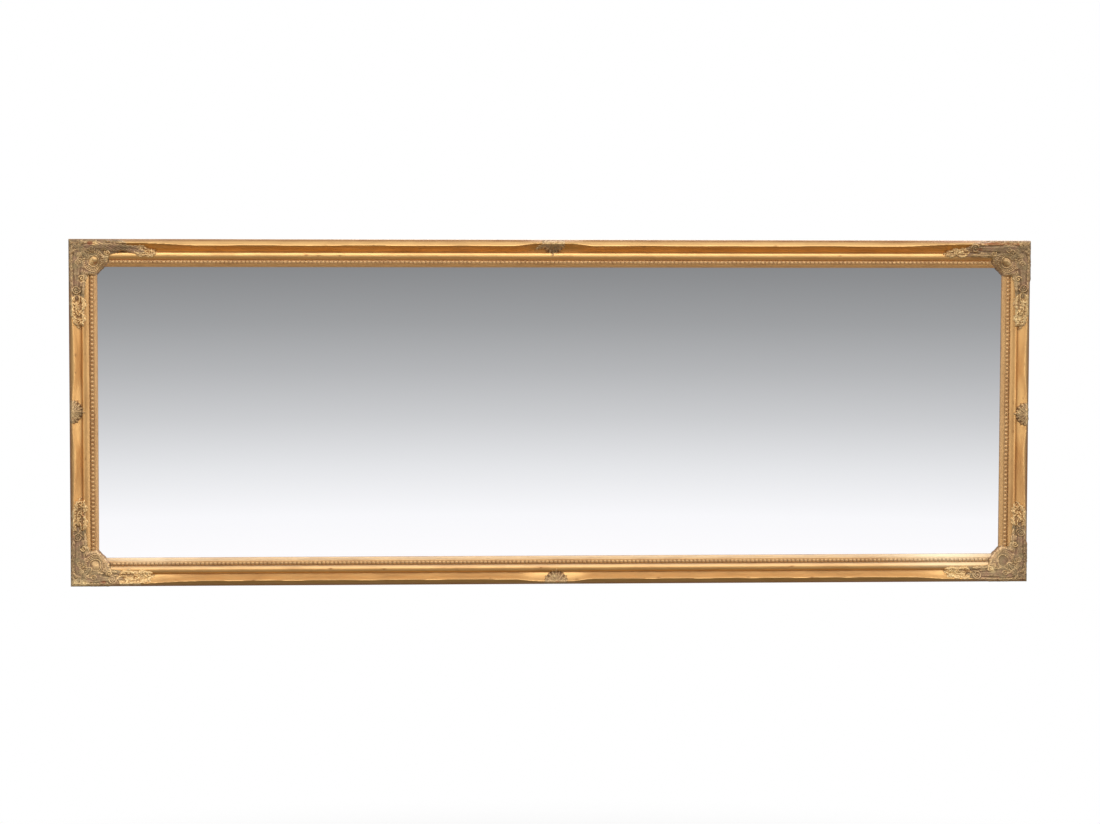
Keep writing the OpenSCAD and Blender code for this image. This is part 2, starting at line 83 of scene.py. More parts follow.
class MouldingSettings(bpy.types.PropertyGroup):
    """The section of the gilt moulding, measured in from its outer edge and up from its back."""
    edge_h: size("Edge height", 20, "Height of the outer side")
    crest_h: size("Crest height", 32, "Height of the outer crest")
    crest_in: size("Crest", 9.9, "Distance of the crest from the outer edge")
    crest_in_swept: size("Swept crest", 6, "Distance of the crest from the outer edge at an ornament")
    groove_in: size("Groove", 20.5, "Distance of the groove from the outer edge")
    groove_h: size("Groove height", 20, "Height of the groove")
    flank_w: size("Flank", 6.7, "Width of the inner ridge's outer flank")
    round_w: size("Round", 6.6, "Width of the inner ridge's round inner side")
    ridge_h: size("Ridge height", 25.2, "Height of the inner ridge")
    foot_h: size("Foot height", 20.3, "Height at the inner ridge's foot")
    channel_w: size("Channel", 6.2, "Width of the channel that holds the beading")
    channel_h: size("Channel height", 19.2, "Height of the channel's floor")
    wall_run: size("Channel wall", 0.4, "Run of the slanted walls beside the channel")
    lip_w: size("Lip", 5.2, "Width of the plain lip beside the glass")
    lip_h: size("Lip height", 19.2, "Height of the lip beside the channel")
    sight_h: size("Sight height", 11, "Height of the lip at the sight edge")
    corner_near: size("Sweep start", 100, "Distance from a corner within which the crest lies fully out")
    corner_far: size("Sweep end", 225, "Distance from a corner at which the crest is back in line")
    centre_near: size("Middle sweep start", 25, "Distance from a side's middle where the sweep starts")
    centre_far: size("Middle sweep end", 70, "Distance from a side's middle where the sweep ends")


class BeadingSettings(bpy.types.PropertyGroup):
    """The row of pressed composition beads."""
    bead_d: size("Bead", 5.3, "Diameter of a bead")
    bead_pitch: size("Pitch", 6.9, "Distance from bead to bead")
    strip_t: size("Strip", 1, "Thickness of the strip that the beads stand on")
    lift: size("Lift", 1.6, "Height of the beads' centres above the channel's floor")
    start_l: size("Start along the length", 66, "Distance from a corner at which the beading starts")
    start_h: size("Start along the height", 60, "Distance from a corner at which the beading starts")


class OrnamentSettings(bpy.types.PropertyGroup):
    """The cast corner and centre ornaments."""
    boss_l: size("Boss along the length", 40.8, "Distance of the oval boss from the outer edge")
    boss_h: size("Boss along the height", 35.8, "Distance of the oval boss from the outer edge")
    relief: size("Relief", 2.4, "Height of the leaves above what they lie on")
    web_back_h: size("Web", 10.6, "Height of the corner's underside over the glass")
    grain: size("Grain", 0.55, "Distance between the points of an ornament's surface")


class GildingSettings(bpy.types.PropertyGroup):
    """Colours of the gilded surfaces."""
    leaf: colour("Leaf", "#e0b070", "Gold leaf where it is whole")
    # the pale and deep colours go by which way a surface faces: paler up, partly dust and partly painted
    # light; deeper down on the leaf, painted shade; lighter down on the oil gilding, painted light
    leaf_pale: colour("Pale leaf", "#e1b476", "Gold leaf under a little dust, on what faces up")
    leaf_deep: colour("Deep leaf", "#bf8d49", "Gold leaf under its old varnish, on what faces down")
    matt_leaf: colour("Matt leaf", "#c69b65", "Oil gilding on the lip")
    matt_dusty: colour("Dusty matt leaf", "#cbad86", "Oil gilding on the lip where it faces up")
    matt_deep: colour("Deep matt leaf", "#e3aa66", "Oil gilding on the lip where it faces down")
    bead_leaf: colour("Bead leaf", "#bb9668", "Oil gilding on the beads")
    bole: colour("Bole", "#94502a", "Red clay that shows where the leaf is rubbed through")
    # also the colour of the painted shade on the ridges, the outer slopes and the beads
    toner: colour("Toner", "#894e18", "Brown size and dust that settle in the hollows")
    patina: colour("Patina", "#9d8459", "Olive glaze over the ornament")
    patina_warm: colour("Warm patina", "#ac8260", "Glaze that let some red through")
    # also the colour of the soot and painted shade marks
    patina_dark: colour("Dark patina", "#604527", "Glaze where it pooled")
    rubbed: colour("Rubbed gold", "#dab888", "Old gold on the ornament where the glaze is wiped off")
    # also laid on the pale marks of rubbed gold and painted highlight, and on the highest edges as wear with
    # a painted highlight
    bright: colour("Bright gold", "#f0d096", "Gold on the ornament's highest edges")
    # this colour is laid on as painted sheen in the pale stretches
    dusty: colour("Dust", "#f8e8c4", "Gold under a film of pale dust")


class StageSettings(bpy.types.PropertyGroup):
    """Camera, lamps and cards."""
    camera_at: FloatVectorProperty(name="Camera", description="Where the camera stands",
                                   default=(-0.3744, -5.3283, 0.1903), subtype="TRANSLATION")
    camera_aim: FloatVectorProperty(name="Aim", description="The point that the camera looks at",
                                    default=(-0.0051, -0.0055, -0.1675), subtype="TRANSLATION")
    camera_roll: FloatProperty(name="Roll", description="How far the camera leans", subtype="ANGLE",
                               default=math.radians(0.16))
    focal_px: FloatProperty(name="Focal length", description="In pixels of the 1100 pixel wide picture",
                            default=3200, min=100)
    key_power: FloatProperty(name="Key lamp", description="Power of the lamp above the front",
                             default=41, min=0, unit="POWER")
    fill_power: FloatProperty(name="Fill lamp", description="Power of the lamp beside the camera",
                              default=64, min=0, unit="POWER")
    back_power: FloatProperty(name="Back lamp", description="Power of the lamp behind the frame",
                              default=30, min=0, unit="POWER")
    floor_drop: FloatProperty(name="Floor", description="Height of the floor below the hooks",
                              default=1.4, min=0.5, unit="LENGTH")
    stage_samples: IntProperty(name="Curve steps", description="Steps in the stage's round edges",
                               default=64, min=8)


def in_mm(settings):
    """A PropertyGroup's lengths in millimetres, as a plain object."""
    names = [p.identifier for p in settings.bl_rna.properties if p.type == "FLOAT"]
    return type("Sizes", (), {n: getattr(settings, n) / MM for n in names})


# ---------------------------------------------------------------- places on the frame
BOTTOM, RIGHT, TOP, LEFT = range(4)
SIDES = {"bottom": BOTTOM, "right": RIGHT, "top": TOP, "left": LEFT}
RAILS = {"bottom": "bottom_rail", "right": "right_stile", "top": "top_rail", "left": "left_stile"}
RAIL_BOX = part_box("top_rail")
STILE_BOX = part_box("left_stile")
FRAME_L = (RAIL_BOX[1].x - RAIL_BOX[0].x) / MM
FRAME_H = (STILE_BOX[1].z - STILE_BOX[0].z) / MM
BACK_Y = RAIL_BOX[1].y / MM
MIDDLE_Z = (STILE_BOX[1].z + STILE_BOX[0].z) / 2 / MM


def half_length(side):
    """Half of a side's length, for any whole number of quarter turns."""
    return (FRAME_H if side % 2 else FRAME_L) / 2


def stand(x, y, h):
    """Points of the flat frame (X along, Y up, height h off the back) in metres in the row frame."""
    return np.stack([x, BACK_Y - h, y + MIDDLE_Z], -1) * MM


def on_side(side, s, u, h):
    """Points of one side: s along it, u in from the outer edge, h off the back."""
    x, y = s, u - half_length(side + 1)
    for _ in range(side):
        x, y = -y, x
    return stand(x, y, h)


def at_corner(right, top, a, b, h):
    """Points of a corner: a along the length and b along the height, from the outer corner."""
    x = (FRAME_L / 2 - a) * (1 if right else -1)
    y = (FRAME_H / 2 - b) * (1 if top else -1)
    return stand(x, y, h)


# ---------------------------------------------------------------- the moulding's surface
def blend_down(a, b, radius):
    """The lower of two heights, rounded over about a radius."""
    return -radius * np.logaddexp(-a / radius, -b / radius)


def swell(d, near, far):
    """1 up to near, then a cosine down to 0 at far."""
    t = np.clip((d - near) / (far - near), 0, 1)
    return (1 + np.cos(np.pi * t)) / 2


def smooth_step(low, high, x):
    t = np.clip((x - low) / (high - low), 0, 1)
    return t * t * (3 - 2 * t)


def crest_along(m, from_corner, from_middle):
    """Distance of the crest from the outer edge, which sweeps out at the ornaments."""
    out = np.maximum(swell(from_corner, m.corner_near, m.corner_far),
                     swell(from_middle, m.centre_near, m.centre_far))
    return m.crest_in - (m.crest_in - m.crest_in_swept) * out


def sight_in(m):
    """Distance of the sight edge from the outer edge."""
    return m.groove_in + m.flank_w + m.round_w + 2 * m.wall_run + m.channel_w + m.lip_w


def moulding_height(m, u, crest):
    """Height of the moulding's face at u in from the outer edge, where the crest lies at crest."""
    t = np.clip(u / crest, 0, 1.3)
    slope = m.edge_h + (m.crest_h - m.edge_h) * (t + np.sin(np.pi / 2 * np.minimum(t, 1))) / 2
    t = np.clip((u - crest) / (m.groove_in - crest), -0.3, 1)
    scoop = m.groove_h + (m.crest_h - m.groove_h) * (1 - t) ** 1.5
    t = np.clip((u - m.groove_in) / m.flank_w, 0, 1)
    quirk = (1 - np.exp(-t / 0.08)) / (1 - math.exp(-1 / 0.08))
    flank = 0.62 * quirk + 0.38 * np.sin(np.pi / 2 * t)
    flank = m.groove_h + (m.ridge_h - m.groove_h) * flank
    t = np.clip((u - m.groove_in - m.flank_w) / m.round_w, 0, 1)
    drop = 1 - smooth_step(0.86, 1.0, t)
    rounded = m.foot_h + (m.ridge_h - m.foot_h) * (0.15 * drop + 0.85 * np.cos(np.pi / 2 * t))
    foot_in = m.groove_in + m.flank_w + m.round_w
    channel_in = foot_in + m.wall_run
    lip_in = channel_in + m.channel_w + m.wall_run
    t = np.clip((u - lip_in) / m.lip_w, 0, 1)
    lip = m.sight_h + (m.lip_h - m.sight_h) * np.cos(np.pi / 2 * t)
    channel = np.interp(u, [foot_in, channel_in, channel_in + m.channel_w, lip_in],
                        [m.foot_h, m.channel_h, m.channel_h, m.lip_h])
    outer = blend_down(slope, scoop, 0.45)
    return np.select([u < m.groove_in, u < m.groove_in + m.flank_w, u < foot_in, u < lip_in],
                     [outer, flank, rounded, channel], lip)


def waves(rng, count, shortest, longest):
    """A gentle uneven curve: a few sine waves with random phases, about 1 high in all."""
    lengths = rng.uniform(shortest, longest, count)
    phases = rng.uniform(0, 2 * np.pi, count)
    return lambda s: sum(np.sin(2 * np.pi * s / k + p) for k, p in zip(lengths, phases)) / math.sqrt(count)


# ---------------------------------------------------------------- meshes
def new_piece(name, points, faces, smooth=True):
    """A mesh object from points in metres and lists of faces."""
    mesh = bpy.data.meshes.new(name)
    mesh.from_pydata(points.tolist(), [], faces)
    mesh.update()
    mesh.polygons.foreach_set("use_smooth", np.full(len(mesh.polygons), smooth))
    piece = bpy.data.objects.new(name, mesh)
    bpy.context.scene.collection.objects.link(piece)
    return piece


def store(mesh, name, values):
    """Keeps a number or a vector for each point, for the materials to read."""
    values = np.asarray(values, float)
    kind = "FLOAT" if values.ndim == 1 else "FLOAT_VECTOR"
    layer = mesh.attributes.new(name, kind, "POINT")
    layer.data.foreach_set("value" if kind == "FLOAT" else "vector", values.ravel().astype(np.float32))


def ring_faces(rows, columns, flip=False):
    """Quads between rows of points, closed round each row."""
    i, j = np.meshgrid(np.arange(rows - 1), np.arange(columns), indexing="ij")
    k = (j + 1) % columns
    quads = np.stack([i * columns + j, i * columns + k, (i + 1) * columns + k, (i + 1) * columns + j], -1)
    quads = quads.reshape(-1, 4)
    return (quads[:, ::-1] if flip else quads).tolist()


# ---------------------------------------------------------------- the rails
# spacing of a rail's points across its face and along its length
FACE_STEP = 0.55
RAIL_STEP = 2.6
# the bare wood behind the face, from the sight edge round to the outer side: distance in, height
BARE_WOOD = ((None, 8.45), (45, 8.45), (42, 8.45), (42, 4.2), (42, 0.1), (28, 0.1), (14, 0.1), (0, 0.1),
             (0, 5), (0, 10), (0, 15))
BARE_FACES = 7
# knocks on a rail and on a stile, and the distances in where they lie
KNOCKS = (16, 7)
KNOCKED = (9.0, 10.5, 27.0, 46.0)
# how far along from the middle a stile is knocked, and how far from its ends a rail is
STILE_KNOCKED = 110
RAIL_UNKNOCKED = 160
# darker stretches of a side, laid in with the toner and painted shade, and pale stretches of painted sheen:
# along it, in from its outer edge, half length, half width, strength
DULL = {TOP: ((-708, 26, 24, 5, 0.8), (-580, 2.5, 110, 5, 0.35)),
        RIGHT: ((-120, 14, 45, 22, 0.3), (-80, 3, 60, 4, 0.4)),
        LEFT: ((120, 14, 30, 20, 0.2), (0, 44, 300, 7, 0.25))}
PAINTED_SHEEN_STRETCHES = {BOTTOM: ((665, 46, 80, 6, 0.7), (665, 32, 80, 9, 0.35), (-670, 45, 60, 7, 0.3))}
# how far in the painted shade on the outer slope reaches, side by side
SLOPE_SHADE_IN = {BOTTOM: 4.6, RIGHT: 6.0, TOP: 5.4, LEFT: 6.0}
# how much painted shade darkens the inner ridge, side by side
RIDGE_SHADE = {BOTTOM: 0.3, RIGHT: 0.38, TOP: 0.2, LEFT: 0.38}


def stretches(ovals, s, u):
    """The sum of ovals with soft edges over one side."""
    return sum((strength * np.exp(-((s - at) / long) ** 2 - ((u - across) / wide) ** 2)
                for at, across, long, wide, strength in ovals), np.zeros_like(s))


def knocks_on(rng, side, s, u):
    """Small dents where something struck the gesso, away from the corner ornaments."""
    half = half_length(side)
    reach = STILE_KNOCKED if side % 2 else half - RAIL_UNKNOCKED
    knocks = np.zeros_like(s)
    for _ in range(KNOCKS[side % 2]):
        at = rng.uniform(-reach, reach)
        across = rng.choice(KNOCKED) + rng.uniform(-1, 1)
        radius = rng.uniform(0.6, 1.7)
        depth = rng.uniform(0.3, 1)
        knocks += depth * np.exp(-(((s - at) / (1.7 * radius)) ** 2 + ((u - across) / radius) ** 2))
    return knocks


def build_rail(name, side, m):
    """One mitred length of moulding, with the slight waves and knocks of old gesso."""
    rng = np.random.default_rng(SEED + side)
    half = half_length(side)
    sight = sight_in(m)
    ridge_in = m.groove_in + m.flank_w
    channel_in = sight - m.lip_w - 2 * m.wall_run - m.channel_w
    face_u = np.concatenate([np.arange(0, sight - 0.3, FACE_STEP), [sight]])
    last = len(face_u)
    u = np.concatenate([face_u, [sight if at is None else at for at, _ in BARE_WOOD]])
    s = np.linspace(-1, 1, int(2 * half / RAIL_STEP) + 1)[:, None] * (half - u)
    u = np.broadcast_to(u, s.shape)
    crest = crest_along(m, half - abs(s), abs(s))
    crest = crest + 0.25 * waves(rng, 4, 70, 260)(s) * (1 - swell(half - abs(s), 60, 150))
    inner = np.clip(u / 4, 0, 1) * np.clip((sight - u) / 4, 0, 1)
    h = moulding_height(m, u, crest) + 0.10 * waves(rng, 5, 45, 190)(s + 1.5 * u) * inner
    knocks = knocks_on(rng, side, s, u)
    h = h - 0.45 * np.clip(knocks, 0, 1.2)
    h[:, last:] = [height for _, height in BARE_WOOD]
    h[:, last - 1] = m.sight_h
    worn = np.exp(-((u - crest) / 0.9) ** 2) + 0.8 * np.exp(-((u - ridge_in) / 1.3) ** 2)
    worn += 0.5 * np.exp(-(u / 0.8) ** 2)
    # toner in the groove, the channel, beside the lip and in knocks; painted shade on the inner ridge and the
    # outer slope, set side by side; and darker stretches
    hollow = 0.7 * np.exp(-((u - m.groove_in) / np.where(u < m.groove_in, 0.9, 0.3)) ** 2)
    for at, wide, strength in ((channel_in, 0.5, 0.1), (sight - m.lip_w, 0.5, 0.3),
                               (ridge_in - 0.5, 3.5, RIDGE_SHADE[side])):
        hollow += strength * np.exp(-((u - at) / wide) ** 2)
    hollow += 1.1 * np.clip(knocks, 0, 1) + 0.95 * (1 - smooth_step(1.0, SLOPE_SHADE_IN[side], u))
    hollow += stretches(DULL.get(side, ()), s, u)
    matt = 0.6 * smooth_step(ridge_in, ridge_in + 3, u) + 0.4 * smooth_step(channel_in - 2, channel_in, u)
    rows, columns = s.shape
    faces = ring_faces(rows, columns)
    faces.append(list(range(columns))[::-1])
    faces.append([(rows - 1) * columns + j for j in range(columns)])
    piece = new_piece(name, on_side(side, s, u, h).reshape(-1, 3), faces)
    mesh = piece.data
    store(mesh, "place", np.stack([s, u, h], -1).reshape(-1, 3))
    # the dark toner field also carries painted shade, and the pale field is painted sheen
    for kind, field in (("hollow", np.clip(hollow, 0, 1)), ("worn", np.clip(worn, 0, 1)),
                        ("matt", matt), ("pale", stretches(PAINTED_SHEEN_STRETCHES.get(side, ()), s, u))):
        field[:, last:] = 0
        store(mesh, kind, field.ravel())
    mesh.set_sharp_from_angle(angle=math.radians(38))
    column = np.tile(np.arange(columns), rows - 1)
    bare = (column >= last - 1) & (column < last + BARE_FACES)
    mesh.polygons.foreach_set("material_index", np.concatenate([bare, [True, True]]).astype(np.int32))
    mesh.update()
    return piece


# ---------------------------------------------------------------- the beading
BEAD_AROUND = 14
BEAD_RINGS = 6
STRIP_STEPS = 80
# how far up the beads of a side their dark glaze and painted shade reach, and how dark the strip is between
# them, set side by side
BEAD_GLAZE_AND_SHADE = {BOTTOM: 1.2, RIGHT: 0.2, TOP: 0.5, LEFT: 0.8}
STRIP_GLAZE_AND_SHADE = {BOTTOM: 0.4, RIGHT: 0.15, TOP: 0.4, LEFT: 0.5}


def bead_ball():
    """Points of a low ball with a flat base, 1 in radius, and its faces."""
    turns = np.linspace(0, 2 * np.pi, BEAD_AROUND, endpoint=False)
    tilts = np.radians(np.linspace(-8, 76, BEAD_RINGS))
    ball = [(math.cos(e) * math.cos(a), math.cos(e) * math.sin(a), math.sin(e)) for e in tilts for a in turns]
    last = (BEAD_RINGS - 1) * BEAD_AROUND
    faces = ring_faces(BEAD_RINGS, BEAD_AROUND)
    faces += [[last + j, last + (j + 1) % BEAD_AROUND, len(ball)] for j in range(BEAD_AROUND)]
    return np.array([*ball, (0, 0, 1)]), [*faces, list(range(BEAD_AROUND))[::-1]]


def build_beading(name, side, m, b):
    """A strip of composition with its row of beads, each a little different."""
    rng = np.random.default_rng(SEED + 10 + side)
    half = half_length(side) - (b.start_h if side % 2 else b.start_l)
    count = int((2 * half - b.bead_d) / b.bead_pitch)
    middle_u = m.groove_in + m.flank_w + m.round_w + m.wall_run + m.channel_w / 2
    w = m.channel_w / 2 - 0.05
    section = ((-w, 0.05), (-w, 0.7 * b.strip_t), (-0.8 * w, b.strip_t), (0.8 * w, b.strip_t),
               (w, 0.7 * b.strip_t), (w, 0.05))
    n = len(section)
    runs = np.linspace(-half + 0.1, half - 0.1, STRIP_STEPS)
    points = [np.array([(s, middle_u + across, m.channel_h + up) for s in runs for across, up in section])]
    faces = ring_faces(STRIP_STEPS, n, flip=True)
    faces += [list(range(n)), [(STRIP_STEPS - 1) * n + j for j in range(n)][::-1]]
    hollow = [np.full(STRIP_STEPS * n, STRIP_GLAZE_AND_SHADE[side])]
    worn = [np.zeros(STRIP_STEPS * n)]
    ball, ball_faces = bead_ball()
    up = ball[:, 2]
    for i in range(count + 1):
        r = b.bead_d / 2 * rng.uniform(1.05, 1.13)
        at = np.array([(i - count / 2) * b.bead_pitch + rng.normal(0, 0.12), middle_u + rng.normal(0, 0.12),
                       m.channel_h + b.lift - rng.uniform(0, 0.25)])
        start = STRIP_STEPS * n + i * len(ball)
        faces.extend([[start + j for j in face] for face in ball_faces])
        points.append(at + ball * r * np.array([1, rng.uniform(0.94, 1.02), 0.62]))
        hollow.append(np.clip(BEAD_GLAZE_AND_SHADE[side] - up * 2.4, 0, 1) * rng.uniform(0.5, 1.0))
        worn.append(np.clip(up * 1.4 - 0.5, 0, 1))
    local = np.vstack(points)
    s, u, h = local.T
    piece = new_piece(name, on_side(side, s, u, h), faces)
    # the dark field also carries painted shade, and the pale field is painted sheen
    for kind, field in (("place", local), ("hollow", np.clip(np.concatenate(hollow), 0, 1)),
                        ("worn", np.concatenate(worn)), ("matt", np.ones(len(local))),
                        ("pale", stretches(PAINTED_SHEEN_STRETCHES.get(side, ()), s, u))):
        store(piece.data, kind, field)
    piece.data.set_sharp_from_angle(angle=math.radians(50))
    return piece


# ---------------------------------------------------------------- relief
# how far an ornament's surface is drawn below what it lies on, where there is nothing of it
SINK = 0.8
# a window that is the whole patch
EVERYWHERE = Ellipsis


def bezier(points, count=56):
    """Points evenly spaced along a Bezier curve."""
    t = np.linspace(0, 1, 4 * count)[:, None]
    layer = [np.broadcast_to(np.array(p, float), (len(t), 2)) for p in points]
    while len(layer) > 1:
        layer = [a * (1 - t) + b * t for a, b in zip(layer, layer[1:])]
    x, y = layer[0].T
    run = np.concatenate([[0], np.cumsum(np.hypot(np.diff(x), np.diff(y)))])
    even = np.linspace(0, run[-1], count)
    return np.stack([np.interp(even, run, x), np.interp(even, run, y)], -1)


def blur(field, radius):
    """A Gaussian blur, radius in grid steps."""
    reach = max(1, int(3 * radius))
    kernel = np.exp(-0.5 * (np.arange(-reach, reach + 1) / radius) ** 2)
    kernel /= kernel.sum()
    for axis in (0, 1):
        padded = np.pad(field, [(reach, reach) if a == axis else (0, 0) for a in (0, 1)], mode="edge")
        field = sum(w * np.take(padded, range(i, i + field.shape[axis]), axis=axis)
                    for i, w in enumerate(kernel))
    return field


class Relief:
    """Leaves, scrolls and flowers over a patch, as heights above what they lie on. rise is a form's
    height in shares of high, gold how much gold is left on it, and lift what it is raised by."""

    def __init__(self, x, y, high):
        self.x, self.y, self.high = x, y, high
        self.step = x[1, 0] - x[0, 0]
        self.lift = np.full(x.shape, -SINK)
        self.gold = np.zeros(x.shape)

    def window(self, line, margin):
        """The part of the patch round a line, as slices."""
        origin = [self.x[0, 0], self.y[0, 0]]
        low = np.floor((line.min(0) - margin - origin) / self.step).astype(int)
        high = np.ceil((line.max(0) + margin - origin) / self.step).astype(int)
        return tuple(slice(max(0, a), max(0, b)) for a, b in zip(low, high))

    def near(self, line, win):
        """How far along a line each point of a window lies, 0 to 1, and how far off it."""
        x, y = self.x[win][..., None], self.y[win][..., None]
        a, seg = line[:-1], np.diff(line, axis=0)
        along = ((x - a[:, 0]) * seg[:, 0] + (y - a[:, 1]) * seg[:, 1]) / (seg ** 2).sum(1)
        along = np.clip(along, 0, 1)
        dx, dy = x - a[:, 0] - along * seg[:, 0], y - a[:, 1] - along * seg[:, 1]
        off = dx ** 2 + dy ** 2
        best = off.argmin(-1)[..., None]
        side = np.sign(seg[:, 0] * dy - seg[:, 1] * dx)
        t = (best + np.take_along_axis(along, best, -1)) / len(seg)
        v = np.sqrt(np.take_along_axis(off, best, -1)) * np.take_along_axis(side, best, -1)
        return t[..., 0], v[..., 0]

    def lay(self, win, lift, gold):
        """Lays a form on the patch where it stands higher than what is there."""
        above = lift > self.lift[win]
        self.lift[win] = np.where(above, lift, self.lift[win])
        self.gold[win] = np.where(above, gold, self.gold[win])

    def leaf(self, stem, widths, rise=1.0, lobes=3, reeds=0.5, scallop=0.3, gold=0.0, lift=0.0):
        """An acanthus leaf seen from above: a dished body with long veins that run to its tip, and
        edges cut into lobes. widths are its half widths at even steps from its root to its tip."""
        height = self.high * rise
        line = bezier(stem)
        widths = np.asarray(widths, float)
        win = self.window(line, widths.max() * 1.25)
        t, v = self.near(line, win)
        length = np.hypot(*np.diff(line, axis=0).T).sum()
        half = np.maximum(np.interp(t, np.linspace(0, 1, len(widths)), widths), 0.3)
        w = v / half
        aw = np.abs(w)
        lobe = np.abs(np.sin(np.pi * lobes * (t - 0.7 * np.abs(v) / length)))
        edge = 1 - scallop * (1 - lobe) ** 2
        body = 1 - (aw / edge) ** 5
        vein = np.cos(2 * np.pi * reeds * w + np.pi)
        cut = (1 - lobe) ** 2 * smooth_step(0.35, 0.8, aw)
        dish = 0.80 + 0.20 * np.cos(2.2 * np.pi * aw)
        up = height * (body * dish - 0.55 * cut) + 0.55 * vein * smooth_step(0.02, 0.12, t)
        rib = 0.45 * np.exp(-(v / 0.8) ** 2)
        up = np.where(body > 0, up + rib, height * np.maximum(body, -2)) + lift
        self.lay(win, up, gold + 0.45 * smooth_step(0.6, 1, aw) * (1 - gold))

    def band(self, stem, width, rise, gold, taper, lift=0.0):
        """A round stem that narrows to its end."""
        line = bezier(stem)
        win = self.window(line, width * 1.6)
        t, v = self.near(line, win)
        half = width * (1 - (1 - taper) * t)
        self.lay(win, (self.high * rise + lift) * (1 - (v / half) ** 2), gold)

    def scroll(self, centre, radius, start, turns, width, rise, hand, gold, lift=0.0):
        """A volute that winds in to a round eye."""
        height = self.high * rise
        theta = np.linspace(0, 2 * np.pi * turns, 90)
        r = radius * (1 - 0.72 * theta / theta[-1])
        turn = np.radians(start) + hand * theta
        line = np.stack([centre[0] + r * np.cos(turn), centre[1] + r * np.sin(turn)], -1)
        win = self.window(line, width * 2)
        t, v = self.near(line, win)
        half = width * (1 - 0.45 * t)
        coil = height * (1 - (v / half) ** 2)
        eye = np.hypot(self.x[win] - centre[0], self.y[win] - centre[1]) / (0.3 * radius)
        self.lay(win, np.maximum(coil, (height + 0.4) * (1 - eye ** 2)) + lift, gold)

    def flower(self, centre, radius, rise, petals, turn, gold, lift):
        """A rosette: dished petals round a small button."""
        height = self.high * rise
        win = self.window(np.array([centre], float), radius * 1.4)
        dx, dy = self.x[win] - centre[0], self.y[win] - centre[1]
        r, phi = np.hypot(dx, dy) / radius, np.arctan2(dy, dx) - math.radians(turn)
        petal = np.abs(np.cos(petals * phi / 2))
        up = height * (1 - (r / (0.62 + 0.38 * petal)) ** 4) * (0.55 + 0.45 * petal)
        up = up - 0.35 * height * np.exp(-((r - 0.45) / 0.2) ** 2)
        self.lay(win, np.maximum(up, height * 1.15 * (1 - (r / 0.3) ** 2)) + lift, gold)


def swapped(points):
    """Points along the length turned to points along the height."""
    return [(p[1], p[0]) for p in points]


# the two ways that a corner's forms run, along the length and along the height, with their hands
WAYS = ((list, 1), (swapped, -1))


def flourish(relief, way, hand, start, end, middle, broad):
    """Curled leaves, two rosettes and a winding stem that fill the scoop from start to end. middle is
    how far in they lie, and broad how broad they are."""
    def at(a, u):
        return way([(start + a * (end - start) / 46, middle + (u - 16) * broad)])[0]

    gold = 0.8
    relief.band([at(-6, 14), at(4, 26), at(14, 4), at(26, 16)], 2.4 * broad, 0.9, gold, 0.7)
    for stem, widths, lift in (([(-4, 11), (2, 4), (9, 4), (16, 9)], (2, 4.8, 4.6, 1), 0),
                               ([(-2, 21), (4, 26), (12, 27), (18, 22)], (2, 4.4, 4.2, 1), 0.3),
                               ([(4, 14), (8, 12), (13, 13), (17, 17)], (1.5, 3.6, 3.8, 1.2), 0.6),
                               ([(14, 9), (20, 4), (26, 6), (31, 11)], (1.5, 4.2, 4.0, 1), 0.2),
                               ([(24, 22), (29, 27), (34, 26), (38, 22)], (1.4, 3.8, 3.4, 0.8), 0),
                               ([(27, 12), (32, 9), (37, 10), (41, 14)], (1.4, 3.8, 3.2, 0.8), 0.3),
                               ([(38, 15), (42, 14), (45, 16), (48, 20)], (1, 2.6, 2.2, 0.5), 0)):
        relief.leaf([at(*p) for p in stem], np.multiply(widths, broad), scallop=0.35, gold=gold, lift=lift)
    relief.flower(at(22, 18), 5.6 * broad, 1.15, 5, 20, gold + 0.1, 0.4)
    relief.flower(at(34.5, 18), 4.8 * broad, 1.15, 4, 50, gold + 0.15, 0.3)
    relief.scroll(at(41, 20), 3.8 * broad, 30, 1.1, 1.7 * broad, 1.0, hand, gold + 0.1)


def feathered_arm(relief):
    """Slender leaves that overlap like the barbs of a feather, then a spray of flowers."""
    for i in range(8):
        a, top, low = 44 + 8.4 * i, 7.5 + 0.75 * i, 19 + 0.6 * i
        relief.leaf([(a, top), (a + 9, top + 1), (a + 17, low - 5), (a + 23, low)],
                    (1.8, 4.2, 4.4, 3.6, 0.8), lobes=2, scallop=0.15, lift=0.1 * (i % 2))
    relief.leaf([(62, 3.5), (72, 1.5), (82, 3), (95, 6.5)], (1.5, 3.0, 3.2, 0.8), lobes=5, scallop=0.4,
                gold=0.55)
    for a, u, radius, petals in ((118, 15.5, 4.4, 5), (126, 21.5, 5.2, 5), (134, 19, 4.4, 4),
                                 (141, 21.5, 3.6, 5)):
        relief.flower((a, u), radius, 1.15, petals, 7 * a, 0.75, 0.3)
    for stem in (((108, 20), (114, 25), (120, 28), (127, 26)), ((112, 15), (117, 11), (122, 12), (128, 16)),
                 ((126, 25), (132, 28), (137, 27), (142, 23))):
        relief.leaf(stem, (1.5, 3.4, 3.0, 0.7), gold=0.6)


def scrolled_arm(relief, way, hand, start, end, middle, broad):
    """A broad soft leaf that ends in a volute, then the flourish."""
    relief.leaf(way([(42, 15), (start - 34, 14), (start - 20, 13), (start, 14)]),
                (12, 12, 11, 9.5, 8.5, 7.5, 6, 2.5), 0.75, lobes=5, reeds=2, scallop=0.2)
    relief.scroll(way([(start - 15, 13)])[0], 7.0, 20, 1.7, 1.9, 1.1, -hand, 0.1, 0.4)
    relief.leaf(way([(54, 26), (62, 23), (70, 26), (start - 8, 24)]), (2.0, 3.8, 3.6, 1.0), 1.1, gold=0.15)
    relief.leaf(way([(50, 7), (60, 2), (70, 3), (start - 10, 6)]), (2.0, 3.6, 3.4, 0.8), lobes=4, gold=0.1)
    flourish(relief, way, hand, start, end, middle, broad)


